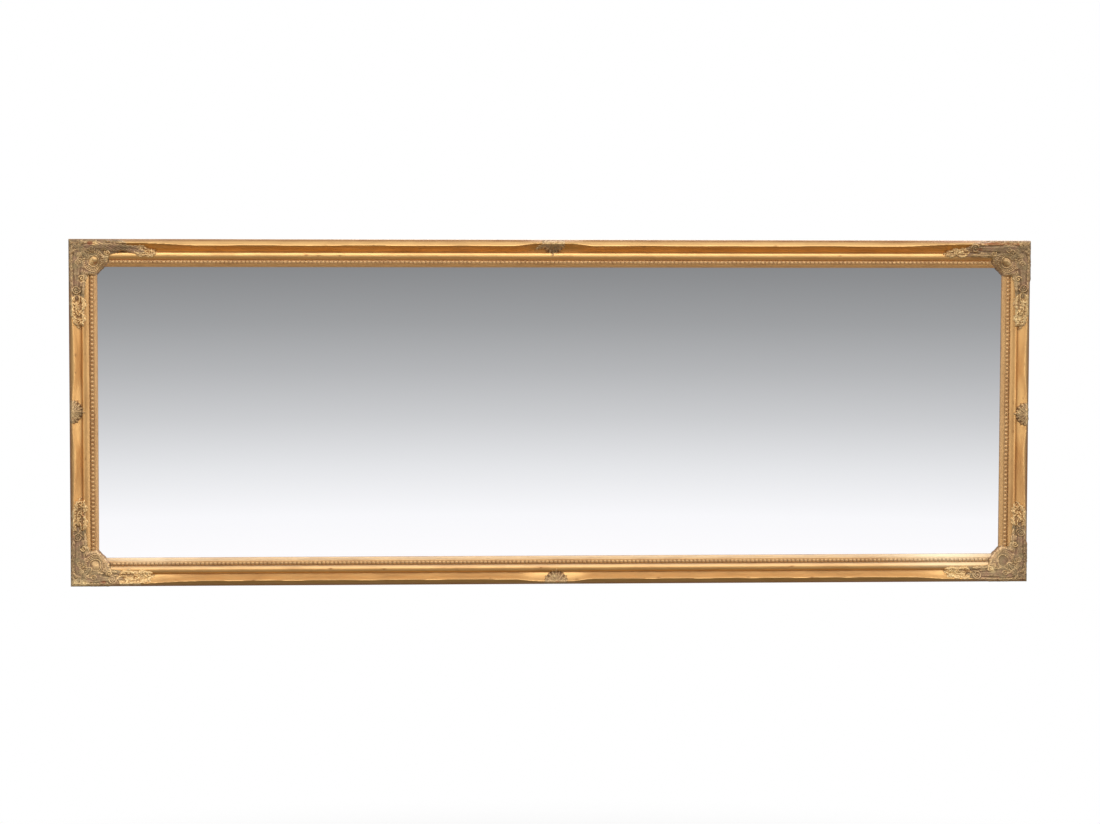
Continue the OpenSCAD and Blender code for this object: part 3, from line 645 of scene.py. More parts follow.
def corner_crown(relief):
    """Broad soft leaves along both outer edges and out to the tip, with volutes beside the boss."""
    relief.leaf([(31, 29), (21, 19), (13, 13), (4, 4)], (5, 8.5, 9, 7, 2), 0.85, lobes=5, reeds=2,
                scallop=0.35)
    for way, hand in WAYS:
        bend = 0 if hand > 0 else 1.5
        relief.leaf(way([(14, 18), (28, 12), (42, 10 + bend), (58, 14)]), (5, 8.5, 8.5, 7, 4), 0.7,
                    lobes=5, reeds=1.5, lift=0.2)
        for a, u in ((6, 22), (14, 27), (24, 21)):
            relief.leaf(way([(a, u), (a + 3, u - 4), (a + 8, u - 6), (a + 13, u - 5)]),
                        (1.2, 2.6, 2.4, 0.6), lobes=2, gold=0.2, lift=0.5)
        relief.leaf(way([(8, 12), (12, 5), (20, 3), (30, 5)]), (1.5, 3.6, 3.6, 0.8), lobes=4, scallop=0.4,
                    gold=0.2)
        relief.leaf(way([(26, 7), (32, 2.5), (40, 2.5), (52, 5)]), (1.5, 3.4, 3.4, 0.8), lobes=5,
                    scallop=0.4, gold=0.2)
        relief.scroll(way([(38.5, 15.5)])[0], 4.6, 10, 1.4, 1.5, 1.1, hand, 0.2, 0.3)
        relief.scroll(way([(64, 22)])[0], 4.6, 200, 1.2, 1.9, 1.2, -hand, 0.45, 0.3)
        relief.leaf(way([(52, 26), (58, 30), (64, 31), (67, 26)]), (1.5, 3.0, 2.8, 0.8), lobes=2, gold=0.25)
    for r in (6.5, 3.4):
        turns = np.radians(np.linspace(150, 330, 5))
        relief.band([(17 + r * math.cos(c), 37 + r * math.sin(c)) for c in turns], 1.3, 0.9, 0.2, 0.8, 0.3)


# ---------------------------------------------------------------- the corner ornaments
# radius of the corner's mass round its boss, and its reach on the diagonal over the glass
MASS_R = 25.4
RIM_CUT = 19.5
# the fan's inner and outer radius and its flutes in a full turn
FAN_IN, FAN_OUT = 18.6, 24.6
GADROONS = 36
BOSS_BEADS = 29
BOSS_BEADS_R = 14.8
# rings round the boss: radius, half width, height, gold
BOSS_RINGS = ((17.6, 1.3, 1.7, 0.2), (9.4, 1.2, 1.6, 0.3), (12.2, 0.9, 1.1, 0.15))
# height of the mass off the back, by distance from the outer edges
MASS_TOP = ((0, 30.0), (8, 31.8), (20, 29.9), (34, 26.2), (48, 19.8), (70, 15.5))
# height of an arm off the back, by distance in from the outer edge
ARM_TOP = ((0, 29.0), (6, 32.2), (12, 31.0), (20, 28.6), (27, 26.9), (30, 25.5))
# no ornament stands higher off the back
TALLEST = 35.7
# an arm's edges: distance along the rail, and how far in from the rail's outer edge
FEATHERED_EDGES = (((40, -1), (60, -1), (74, 4.5), (90, 7.5), (112, 12), (126, 14), (150, 18)),
                   ((40, 30), (62, 28), (74, 23.5), (88, 20), (100, 22), (112, 25), (124, 27), (150, 24)))
SCROLLED_EDGES = (((40, -1), (62, -1), (76, 3.5), (100, 6), (140, 9), (150, 12)),
                  ((40, 30), (68, 29), (84, 26.5), (110, 26), (140, 25.5), (150, 23)))
NARROW_EDGES = (((40, -1), (62, -1), (76, 3.5), (96, 7), (110, 13), (140, 16.5), (150, 19)),
                ((40, 30), (68, 29), (84, 28), (110, 27.5), (140, 26.5), (150, 24)))


class Corner(NamedTuple):
    """What differs from corner to corner. The flourish's start and end are given along the length and
    along the height, and how far in it lies and how broad it is along the length. Marks are given by
    kind: along the length, along the height, their half widths, and their strength."""
    length_span: tuple
    height_span: tuple
    squeeze: tuple
    edges: tuple
    soot: float
    glaze: float
    crisp: float
    lean: float
    boss_gold: float
    slope_gold: float
    marks: dict


# by right and top; a corner's soot level and dark marks are soot and painted shade, and its pale marks are
# rubbed gold and painted highlights
CORNERS = {
    (False, True): Corner(
        (108, 146), (98, 146), (16, 1.0), FEATHERED_EDGES, soot=0.2, glaze=1.0, crisp=0.95, lean=-50,
        boss_gold=0.95, slope_gold=0.15, marks={
            "bare": ((36, 6, 5, 4, 1.8), (44, 39, 5, 4, 0.9)),
            "gold": ((44, 7, 5, 4, 1), (63, 22, 4, 3, 1), (22, 68, 4, 3, 1), (50, 47, 8, 5, 0.6),
                     (42, 38, 15, 13, 0.35)),
            "soot": ((75, 3, 22, 5, 1.4), (14, 3, 14, 5, 1.2), (3, 45, 5, 40, 0.7), (84, 13, 26, 9, 1.1),
                     (38, 14, 22, 7, 0.9), (10, 10, 14, 14, 0.7), (118, 16, 16, 9, 0.5)),
            "cream": ((84, 5, 7, 3, 0.6), (36, 33, 3, 2, 0.8), (62, 30, 4, 6, 0.7))}),
    (True, True): Corner(
        (110, 147), (94, 147), (21, 0.62), NARROW_EDGES, soot=0.55, glaze=1.0, crisp=1.0, lean=-50,
        boss_gold=0.6, slope_gold=0.5, marks={
            "bare": ((24, 6, 5, 4, 1), (52, 3, 7, 3, 1), (78, 4, 7, 3, 1), (27, 107, 3, 3, 1),
                     (88, 14, 12, 5, 0.9), (62, 5, 50, 4, 1.15)),
            "soot": ((4, 45, 5, 40, 1.0), (12, 12, 17, 17, 1.3), (44, 14, 20, 6, 1)),
            "cream": ((8, 14, 3, 4, 0.6), (13, 103, 7, 10, 1), (20, 130, 12, 20, 1.2), (26, 72, 6, 10, 0.4),
                      (124, 19, 6, 4, 0.8), (36, 38, 3, 3, 0.7))}),
    (False, False): Corner(
        (84, 136), (97, 147), (16, 1.0), SCROLLED_EDGES, soot=0.1, glaze=0.8, crisp=0.9, lean=-68,
        boss_gold=0.5, slope_gold=0.1, marks={
            "bare": ((6, 84, 4, 4, 1), (20, 120, 6, 6, 1), (55, 8, 6, 5, 1)),
            "soot": ((33, 3, 6, 3, 1), (40, 40, 15, 15, 0.4), (13, 92, 12, 20, 1), (4, 50, 5, 40, 0.9),
                     (15, 125, 12, 20, 0.7)),
            "cream": ((8, 6, 8, 6, 1.4), (22, 7, 9, 5, 1.4), (98, 11, 12, 4, 0.8), (126, 17, 22, 9, 1.0),
                      (72, 14, 12, 7, 0.5))}),
    (True, False): Corner(
        (101, 141), (98, 134), (17, 0.8), SCROLLED_EDGES, soot=0.25, glaze=0.7, crisp=0.5, lean=-75,
        boss_gold=0.0, slope_gold=0.1, marks={
            "bare": ((10, 4, 5, 4, 1),),
            "soot": ((13, 92, 10, 16, 1), (4, 50, 6, 45, 1.3), (14, 132, 12, 14, 0.6),
                     (12, 12, 14, 14, 0.9), (40, 40, 15, 15, 0.5)),
            "cream": ((60, 22, 5, 4, 1.6), (130, 15, 16, 9, 1.6), (5, 84, 4, 4, 0.8))}),
}


def sight_cut(aim):
    """How far in the corner's rim lies on the diagonal, where it runs nearly straight over the glass."""
    straight = RIM_CUT / MASS_R / np.maximum(np.cos(aim), 0.3)
    return np.where(np.abs(aim) < 1.2, blend_down(straight, np.ones_like(aim), 0.03), 1)


def round_boss(o, x, y):
    """Distance from the boss, and the angle from the diagonal toward the glass."""
    dx, dy = x - o.boss_l, y - o.boss_h
    return np.hypot(dx, dy), np.angle(np.exp(1j * (np.arctan2(dy, dx) - np.pi / 4)))


def corner_shell(relief, o, corner):
    """The oval boss, its rings and the fan of gadroons on the side of the glass."""
    r, aim = round_boss(o, relief.x, relief.y)
    phi = aim + np.pi / 4
    r = r / (1 + (sight_cut(aim) - 1) * smooth_step(9, 19, r))
    r = r + 0.35 * np.sin(3 * phi + 1)
    outer = 0.45 + 0.55 * (1 - smooth_step(1.3, 2.2, np.abs(aim)))
    fan = 1 - smooth_step(1.25, 1.7, np.abs(aim))
    flute = np.abs(np.cos(GADROONS * aim / 2))
    rim = FAN_OUT * (0.985 + 0.015 * np.cos(GADROONS * aim / 4) ** 2)
    t = (r - FAN_IN) / (rim - FAN_IN)
    up = 1.6 * (0.6 + 0.4 * flute ** 0.7) * (1 - (2 * t - 1) ** 2)
    relief.lay(EVERYWHERE, np.where(fan > 0, up * fan, -SINK), 0.2)
    for radius, width, height, gold in BOSS_RINGS:
        relief.lay(EVERYWHERE, corner.crisp * height * outer * (1 - ((r - radius) / width) ** 2), gold)
    arc = (phi * BOSS_BEADS / (2 * np.pi) % 1 - 0.5) * 2 * np.pi * BOSS_BEADS_R / BOSS_BEADS
    up = 1.5 * corner.crisp * (1 - ((r - BOSS_BEADS_R) / 1.5) ** 2 - (arc / 1.45) ** 2)
    relief.lay(EVERYWHERE, up, 0.35)
    x, y = relief.x - o.boss_l, relief.y - o.boss_h
    lean = math.radians(corner.lean)
    p, q = x * math.cos(lean) + y * math.sin(lean), -x * math.sin(lean) + y * math.cos(lean)
    oval = (p / 8.0) ** 2 + (q / 5.9) ** 2
    boss = corner.crisp * (1.3 + 1.2 * corner.boss_gold) * (1 - oval ** 1.3)
    relief.lay(EVERYWHERE, boss, corner.boss_gold * np.clip(1.6 - 0.7 * oval, 0, 1))


def arm_lift(along, across, ground, edges, start, end):
    """How far an arm's body fills the scoop: fully beside the corner, thinly under the flourish."""
    outer, inner = (np.interp(along, *zip(*knots)) for knots in edges)
    inside = np.minimum(np.minimum(across - outer, inner - across), end - 4 - along)
    full = np.sqrt(np.clip(1 - (1 - np.clip(inside / 4.5, 0, 1)) ** 2, 0, 1))
    body = np.maximum(np.interp(across, *zip(*ARM_TOP)) - ground, 0.2) * full
    thin = 0.72 - 0.3 * smooth_step(15, 19, across)
    body = body * (1 - thin * smooth_step(66, start + 6, along)) * smooth_step(36, 46, along)
    return np.where((inside > 0) & (along > 36), body, -SINK)


def mass_lift(o, x, y, ground):
    """How far the corner's mass stands above what it lies on; below zero outside it."""
    r, aim = round_boss(o, x, y)
    reach = MASS_R * (1 + 1.5 * np.maximum(0, -np.cos(aim)) ** 1.2)
    inside = reach * sight_cut(aim) + 0.25 * np.cos(12 * aim + 0.8) - r
    soft = 6.5 + 8 * smooth_step(0.75, 1.5, np.abs(aim))
    rounding = np.clip(np.minimum(inside / soft, (np.minimum(x, y) + 0.8) / 6.5), 0, 1)
    # rounded steeply at the outer edges and gently over the glass
    steep = np.sqrt(np.clip(1 - (1 - rounding) ** 2, 0, 1))
    gentle = 1 - (1 - rounding) ** 1.5
    full = steep + (gentle - steep) * (1 - smooth_step(0.7, 1.2, np.abs(aim)))
    top = np.interp(blend_down(x, y, 3.0), *zip(*MASS_TOP))
    return np.where(inside > 0, np.maximum(top - ground, 0.3) * full, np.maximum(inside, -SINK))


def surface_marks(gold, soot, x, y, marks):
    """What a material reads besides the relief: gold, soot with painted shade, bare bole, and rubbed gold
    with painted highlights, with a side's or a corner's marks as ovals with soft edges."""
    fields = {"gold": gold, "soot": soot, "bare": np.zeros_like(x), "cream": np.zeros_like(x)}
    for kind, ovals in marks.items():
        for a, b, wide, deep, strength in ovals:
            oval = strength * np.exp(-((x - a) / wide) ** 2 - ((y - b) / deep) ** 2)
            fields[kind] = np.maximum(fields[kind], oval)
    return fields


def cast_over(relief, mass, ground, rng):
    """The lift of an ornament: its mass with the relief on it, and the uneven surface of pressed
    composition, with lumps of 3 mm and pits of 1 mm."""
    lift = np.maximum(mass + np.maximum(relief.lift, 0), relief.lift)
    uneven = np.zeros_like(lift)
    for radius, height in ((3.0, 0.20), (1.0, 0.05)):
        rough = blur(rng.normal(0, 1, lift.shape), radius / 2 / relief.step)
        uneven += height * rough / rough.std()
    lift = lift + uneven * smooth_step(0.1, 0.8, lift)
    return blend_down(ground + lift, np.full_like(lift, TALLEST), 0.3) - ground


# the patches' first point beside the outer edge, and how far a corner's patch reaches
PATCH_IN = 0.7
CORNER_REACH = 151.5
# a distance that is far from every corner or middle
FAR = 1e4


def corner_field(right, top):
    """Grid, ground, lift, marks and glaze of one corner ornament."""
    m, o = in_mm(bpy.context.scene.pier_moulding), in_mm(bpy.context.scene.pier_ornament)
    corner = CORNERS[right, top]
    steps = np.arange(PATCH_IN, CORNER_REACH, o.grain)
    x, y = np.meshgrid(steps, steps, indexing="ij")
    across, along = np.minimum(x, y), np.maximum(x, y)
    sight = sight_in(m)
    face = moulding_height(m, np.minimum(across, sight - 0.1), crest_along(m, along, np.full_like(x, FAR)))
    ground = np.where(across < sight, face, o.web_back_h)
    relief = Relief(x, y, o.relief)
    start = np.where(x > y, corner.length_span[0], corner.height_span[0])
    relief.gold = 0.55 * smooth_step(start - 8, start + 6, along)
    if corner.edges is FEATHERED_EDGES:
        feathered_arm(relief)
    else:
        scrolled_arm(relief, *WAYS[0], *corner.length_span, *corner.squeeze)
    scrolled_arm(relief, *WAYS[1], *corner.height_span, 16, 1.0)
    corner_crown(relief)
    corner_shell(relief, o, corner)
    # soot and painted shade: a level for the whole corner, darker toward its outer edges, and the marked
    # spots
    marks = surface_marks(np.maximum(relief.gold, corner.slope_gold * (1 - smooth_step(7, 10, y))),
                          corner.soot + 0.6 * (1 - smooth_step(2, 8, across)), x, y, corner.marks)
    arms = np.where(x > y, arm_lift(x, y, ground, corner.edges, *corner.length_span),
                    arm_lift(y, x, ground, SCROLLED_EDGES, *corner.height_span))
    mass = np.maximum(mass_lift(o, x, y, ground), arms)
    rng = np.random.default_rng(SEED + 20 + 2 * right + top)
    lift = cast_over(relief, mass, ground, rng)
    # where the rim hangs over the glass there is nothing beside it, and no hollow for glaze to lie in
    over_glass = (across > sight) & (mass <= 0)
    open_rim = np.clip(2.2 * blur(over_glass.astype(float), 2.0 / o.grain), 0, 1)
    return x, y, ground, np.where(over_glass, -SINK, lift), marks, corner.glaze * (1 - open_rim)


# the four corners of a grid's cells, in turn
CELL = [(slice(*a), slice(*b)) for a, b in (((None, -1), (None, -1)), ((1, None), (None, -1)),
                                            ((1, None), (1, None)), ((None, -1), (1, None)))]
# how far an ornament's skirt reaches below the corner's web, and below the moulding's groove
SKIRT_BELOW_WEB = 1
SKIRT_BELOW_GROOVE = 4


def field_piece(name, place, x, y, ground, lift, marks, glaze, floor_h):
    """A closed solid under a field of heights: its top, a skirt and a flat underside. glaze says how
    thickly the dark glaze lies in its hollows."""
    step = x[1, 0] - x[0, 0]
    shown = lift > -SINK + 1e-6
    near = blur(shown.astype(float), 1.0) > 0.02
    cell = np.logical_and.reduce([near[c] for c in CELL]) & np.logical_or.reduce([shown[c] for c in CELL])
    used = np.zeros(x.shape, bool)
    for c in CELL:
        used[c] |= cell
    number = np.full(x.shape, -1)
    number[used] = np.arange(used.sum())
    quads = np.stack([number[c][cell] for c in CELL], -1)
    h = ground + np.where(shown, lift, -SINK)
    points = place(x[used], y[used], h[used])
    a, b, c = points[quads[0, :3]]
    if np.cross(b - a, c - a)[1] > 0:
        quads = quads[:, ::-1]
    piece = new_piece(name, points, quads.tolist())
    mesh = piece.data
    soft, softer = blur(h, 1.2 / step), blur(h, 2.4 / step)
    store(mesh, "place", np.stack([x, y, h], -1)[used])
    store(mesh, "hollow", (glaze * np.clip((softer - h) / 1.3, 0, 1))[used])
    store(mesh, "worn", np.clip((h - soft)[used] / 0.5, 0, 1))
    for kind, field in marks.items():
        store(mesh, kind, field[used])
    bm = bmesh.new()
    bm.from_mesh(mesh)
    rim = [e for e in bm.edges if e.is_boundary]
    made = bmesh.ops.extrude_edge_only(bm, edges=rim)["geom"]
    for item in made:
        if isinstance(item, bmesh.types.BMVert):
            item.co.y = (BACK_Y - floor_h) * MM
        elif isinstance(item, bmesh.types.BMFace):
            item.smooth = False
    low = [g for g in made if isinstance(g, bmesh.types.BMEdge) and g.is_boundary]
    bmesh.ops.triangle_fill(bm, use_beauty=False, use_dissolve=False, edges=low)
    bmesh.ops.recalc_face_normals(bm, faces=bm.faces)
    bm.to_mesh(mesh)
    bm.free()
    return piece


# ---------------------------------------------------------------- the centre ornaments
# where along its side each one lies
CENTRE_AT = {BOTTOM: 4, RIGHT: -4, TOP: 2, LEFT: -3}
# marks by kind: along the side, in from its outer edge, their half widths, and their strength; the dark marks
# are soot and painted shadows beside the ornament, the pale ones rubbed gold and painted highlights
CENTRE_MARKS = {
    TOP: {"gold": ((0, 4, 24, 4, 0.9), (25, 12, 6, 4, 0.3)), "soot": ((-2, 15, 16, 7, 0.9),),
          "bare": ((-2, 4, 18, 3, 0.85), (2, 16, 6, 4, 0.8))},
    BOTTOM: {"gold": ((-5, 10, 6, 4, 0.3),), "soot": ((16, 12, 7, 5, 0.6),),
             "bare": ((5, 6, 6, 2, 1), (14, 12, 6, 4, 0.65)), "cream": ((0, 14, 3, 2, 0.9),)},
    LEFT: {"soot": ((14, 9, 4, 8, 1),), "cream": ((-8, 23, 3, 2, 1), (0, 10, 12, 7, 0.35))},
    RIGHT: {"soot": ((-21, 11, 3, 5, 1),), "bare": ((-10, 8, 7, 4, 0.7),),
            "cream": ((-2, 18, 6, 4, 1), (-5, 8, 2, 2, 0.8))},
}
CENTRE_STEMS = (((2, 4), (8, 2.5), (14, 4), (19, 9)), ((2, 5), (7, 7), (13, 9), (18, 14)),
                ((1, 6), (5, 10), (9, 14), (12, 18.5)), ((0.5, 7), (2, 12), (4, 17), (6, 21.5)))


def centre_field(side):
    """Grid, ground, lift, marks and glaze of the small ornament at the middle of a side."""
    m, o = in_mm(bpy.context.scene.pier_moulding), in_mm(bpy.context.scene.pier_ornament)
    x, y = np.meshgrid(np.arange(-33, 33.1, o.grain), np.arange(PATCH_IN, 28, o.grain), indexing="ij")
    ground = moulding_height(m, y, crest_along(m, np.full_like(x, FAR), np.abs(x)))
    relief = Relief(x, y, o.relief)
    c = CENTRE_AT[side]
    rng = np.random.default_rng(SEED + 30 + side)
    for way in (-1, 1):
        for stem in CENTRE_STEMS:
            relief.leaf([(c + way * a, u) for a, u in stem], (2.0, 3.5, 3.3, 0.9), scallop=0.25, gold=0.15,
                        lift=0.15 * rng.uniform(0, 2))
    relief.leaf([(c, 4), (c - 1, 12), (c + 1, 19), (c + 1, 26)], (2.4, 3.6, 3.0, 0.7), 1.2, lobes=4,
                gold=0.2, lift=0.3)
    if side == RIGHT:
        relief.flower((c + 2, 18), 5.2, 1.3, 5, 90, 0.6, 0.8)
    if side == TOP:
        relief.leaf([(c + 12, 12), (c + 18, 9), (c + 24, 12), (c + 29, 16)], (2, 4.2, 3.6, 0.8), gold=0.35)
    body = 1 - ((x - c) / 19) ** 2 - (np.maximum(y - 5, 0) / 17) ** 2
    mass = np.where(body > 0, 2.2 * np.sqrt(np.clip(body, 0, 1)), -SINK)
    lift = cast_over(relief, mass, ground, rng)
    marks = surface_marks(np.maximum(relief.gold, 0.25), np.full_like(x, 0.5), x, y, CENTRE_MARKS[side])
    return x, y, ground, lift, marks, 1.0


# ---------------------------------------------------------------- materials
def add(tree, kind, sockets=(), out=None, **settings):
    """Adds a node with its settings, fills its open sockets in order or by name with values, hex
    colours or links, and returns its first open output, or the one named."""
    node = tree.nodes.new("ShaderNode" + kind)
    for key, value in settings.items():
        setattr(node, key, value)
    if isinstance(sockets, dict):
        pairs = [(node.inputs[key], value) for key, value in sockets.items()]
    else:
        pairs = list(zip([s for s in node.inputs if s.enabled], sockets))
    for socket, value in pairs:
        if isinstance(value, bpy.types.NodeSocket):
            tree.links.new(value, socket)
        elif socket.type == "RGBA":
            socket.default_value = (*(linear(value) if isinstance(value, str) else value[:3]), 1)
        else:
            socket.default_value = value
    return node.outputs[out] if out else next((s for s in node.outputs if s.enabled), None)


def new_material(name):
    """An empty material, and the function that adds a node to it."""
    material = bpy.data.materials.new(name)
    material.use_nodes = True
    material.node_tree.nodes.clear()
    return material, functools.partial(add, material.node_tree)


def spread(put, vector, *sizes_mm):
    """A place in millimetres divided by pattern sizes in millimetres."""
    return put("VectorMath", (vector, tuple(1 / s for s in sizes_mm)), operation="MULTIPLY")


def place_in_mm(put):
    """The row frame's place in millimetres, for the pieces that are carried over as they are."""
    return put("VectorMath", {"Vector": put("TexCoord", out="Object"), "Scale": 1 / MM}, operation="SCALE")


def painted_light_by_facing(put):
    """How far a surface faces up, 0 to 1, and how far it faces down. What faces up is paler, partly dust and
    partly painted light; what faces down takes a painted tone: painted shade on the leaf and painted light on
    the oil gilding."""
    up = put("SeparateXYZ", (put("NewGeometry", out="Normal"),), "Z")
    return (put("MapRange", (up, 0.10, 0.75), interpolation_type="SMOOTHSTEP"),
            put("MapRange", (up, -0.05, -0.62), interpolation_type="SMOOTHSTEP"))


def water_gilding(name, g, matt_leaf, matt_dusty):
    """Gold leaf laid over red bole on gesso and burnished, then toned and dusted for two lifetimes; the lip
    and the beads are oil gilt, which stays matt. The eye sees a satin metal with streaks along the run, paler
    on what faces up, partly dust and partly painted light, a deeper orange on what faces down, which is
    painted shade, lighter on the oil gilt where it faces down, which is painted light, and red where it is
    rubbed. Painted shade also darkens the ridges, the outer slopes and the beads along with the toner, and
    pale stretches of painted sheen lie near the bottom corners."""
    material, put = new_material(name)
    place = put("Attribute", out="Vector", attribute_name="place")
    hollow, worn, matt, painted_sheen = [put("Attribute", out="Fac", attribute_name=field)
                                for field in ("hollow", "worn", "matt", "pale")]
    # how far each point faces up, for dust and painted light, and down, for the painted tone
    up_dust_and_sheen, painted_light_below = painted_light_by_facing(put)
    # the burnisher's streaks: 70 mm long and 1.6 mm wide
    streaks = put("TexNoise", (spread(put, place, 70, 1.6, 3), 1, 3, 0.6))
    # patches of thicker and thinner toner, 45 mm long and 9 mm wide
    patches = put("TexNoise", (spread(put, place, 45, 9, 9), 1, 4, 0.62))
    # specks of dust and fly spots, 1.6 to 2.2 mm
    specks = put("TexNoise", (spread(put, place, 2.2, 1.6, 1.6), 1, 5, 0.7))
    # leaf and oil gilding, each paler where it faces up, partly dust and partly painted light, and with a
    # painted tone where it faces down: painted shade on the leaf, painted light on the oil gilding
    gildings = []
    for whole, dusty, deep in ((g.leaf, g.leaf_pale, g.leaf_deep), (matt_leaf, matt_dusty, g.matt_deep)):
        dusted_and_lit = put("Mix", (up_dust_and_sheen, whole, dusty), data_type="RGBA")
        gildings.append(put("Mix", (painted_light_below, dusted_and_lit, deep), data_type="RGBA"))
    leaf, oil_gilt = gildings
    pale = put("MapRange", (streaks, 0.45, 0.70, 0, 0.45))
    # toner where it pooled, with painted shade on the ridges, outer slopes and beads, in patches over the
    # open face, and as specks
    pooled_and_shade = put("Math", (hollow, 0.72), operation="MULTIPLY")
    toned_and_shaded = put("Math", (put("MapRange", (patches, 0.45, 0.78, 0, 0.32)), pooled_and_shade), operation="ADD")
    dark_specks = put("MapRange", (specks, 0.64, 0.74, 0, 0.5))
    toned_and_shaded = put("Math", (toned_and_shaded, dark_specks), operation="ADD", use_clamp=True)
    # the leaf is rubbed through to the bole on the arrises, in stretches of 30 mm
    rub = put("TexNoise", (spread(put, place, 30, 2.4, 2.4), 1, 6, 0.72))
    rub = put("Math", (rub, worn), operation="MULTIPLY")
    bare = put("MapRange", (rub, 0.50, 0.66, 0, 0.75))
    skin = leaf
    # coats over the leaf: oil gilt, the burnisher's pale streaks, toner with painted shade, bare bole, and
    # pale stretches of painted sheen
    for amount, coat in ((matt, oil_gilt), (pale, g.leaf_pale), (toned_and_shaded, g.toner), (bare, g.bole),
                         (painted_sheen, g.dusty)):
        skin = put("Mix", (amount, skin, coat), data_type="RGBA")
    # leaf is metal; toner with its painted shade, dust and bole are not
    cover = put("Math", (toned_and_shaded, bare), operation="MAXIMUM")
    cover = put("Math", (matt, 0.45, cover), operation="MULTIPLY_ADD", use_clamp=True)
    metal = put("MapRange", (cover, 0, 1, 0.82, 0.42))
    rough = put("MapRange", (specks, 0.3, 0.7, 0.33, 0.45))
    rough = put("Math", (matt, 0.10, rough), operation="MULTIPLY_ADD")
    # gesso unevenness of 5 to 9 mm and the grit of the toner
    uneven = put("TexNoise", (spread(put, place, 9, 5, 5), 1, 2))
    bump = put("Bump", {"Height": uneven, "Strength": 0.35, "Distance": 0.0004})
    bump = put("Bump", {"Height": specks, "Strength": 0.25, "Distance": 0.0001, "Normal": bump})
    put("OutputMaterial", (put("BsdfPrincipled", {"Base Color": skin, "Metallic": metal,
                                                  "Roughness": rough, "Normal": bump}),))
    return material


def glazed_composition(name, g):
    """Composition pressed in a carved mould, gilded, then glazed with an olive brown patina and wiped. The
    eye sees dull olive leaves with old gold on the edges that the cloth reached, a deeper gold on what faces
    down, which is painted shade, dark marks of soot and painted shade, and pale marks of rubbed gold and
    painted highlights."""
    material, put = new_material(name)
    place = put("Attribute", out="Vector", attribute_name="place")
    hollow, worn, gold, cream, soot, bare = [
        put("Attribute", out="Fac", attribute_name=field)
        for field in ("hollow", "worn", "gold", "cream", "soot", "bare")]
    # what faces down takes the deeper leaf colour: painted shade
    painted_light_below = painted_light_by_facing(put)[1]
    # the cloth's reach varies over 7 mm, the glaze's own mottle over 2 mm, its reddish tone over 16 mm,
    # and the leaf is chipped in spots of 3 to 5 mm
    wiped, mottle, tone, chips = [
        put("TexNoise", (spread(put, place, *[across] * 3), 1, detail, ragged))
        for across, detail, ragged in ((7, 5, 0.65), (2, 4, 0.6), (16, 3, 0.6), (5, 5, 0.7))]
    rubbed = put("Math", (worn, 0.6, gold), operation="MULTIPLY_ADD")
    rubbed = put("Math", (wiped, rubbed), operation="ADD")
    shine = put("MapRange", (rubbed, 0.60, 1.30, 0, 0.9))
    glaze = put("Mix", (put("MapRange", (tone, 0.42, 0.62)), g.patina, g.patina_warm), data_type="RGBA")
    thick = put("MapRange", (mottle, 0.35, 0.75, 0, 0.5))
    glaze = put("Mix", (thick, glaze, g.patina_dark), data_type="RGBA")
    # the highest edges of the gilded parts take the bright gold, partly wear and partly a painted highlight
    edges = put("Math", (worn, gold), operation="MULTIPLY")
    gilt = g.rubbed
    for amount, coat in ((painted_light_below, g.leaf_deep), (gold, g.leaf), (edges, g.bright)):
        gilt = put("Mix", (amount, gilt, coat), data_type="RGBA")
    # rubbed gold with painted highlights, soot with painted shade, and bare bole, where the cloth wiped
    cream, soot, bare = [put("Math", (field, wiped), operation="MULTIPLY") for field in (cream, soot, bare)]
    cream = put("Math", (cream, 1.5), operation="MULTIPLY", use_clamp=True)
    # the hollows keep dark glaze on the olive leaves, and brown size among the gilded ones
    depth = put("Math", (gold, -0.35, 0.85), operation="MULTIPLY_ADD")
    depth = put("Math", (cream, -0.45, depth), operation="MULTIPLY_ADD")
    dark = put("Math", (hollow, depth), operation="MULTIPLY")
    pool = put("Mix", (gold, g.patina_dark, g.toner), data_type="RGBA")
    # chips down to the red bole
    chips = put("Math", (chips, worn), operation="MULTIPLY")
    chips = put("Math", (put("MapRange", (chips, 0.50, 0.62, 0, 0.6)),
                         put("MapRange", (bare, 0.3, 0.55, 0, 0.75))), operation="MAXIMUM")
    skin = glaze
    # over the glaze: gilt, painted highlights with rubbed gold, dark glaze in the hollows, soot with painted
    # shade, and chips down to the bole
    for amount, coat in ((shine, gilt), (cream, g.bright), (dark, pool), (soot, g.patina_dark),
                         (chips, g.bole)):
        skin = put("Mix", (amount, skin, coat), data_type="RGBA")
    metal = put("MapRange", (shine, 0, 1, 0.15, 0.65))
    rough = put("MapRange", (shine, 0, 1, 0.62, 0.42))
    bump = put("Bump", {"Height": mottle, "Strength": 0.5, "Distance": 0.0003})
    put("OutputMaterial", (put("BsdfPrincipled", {"Base Color": skin, "Metallic": metal,
                                                  "Roughness": rough, "Normal": bump}),))
    return material


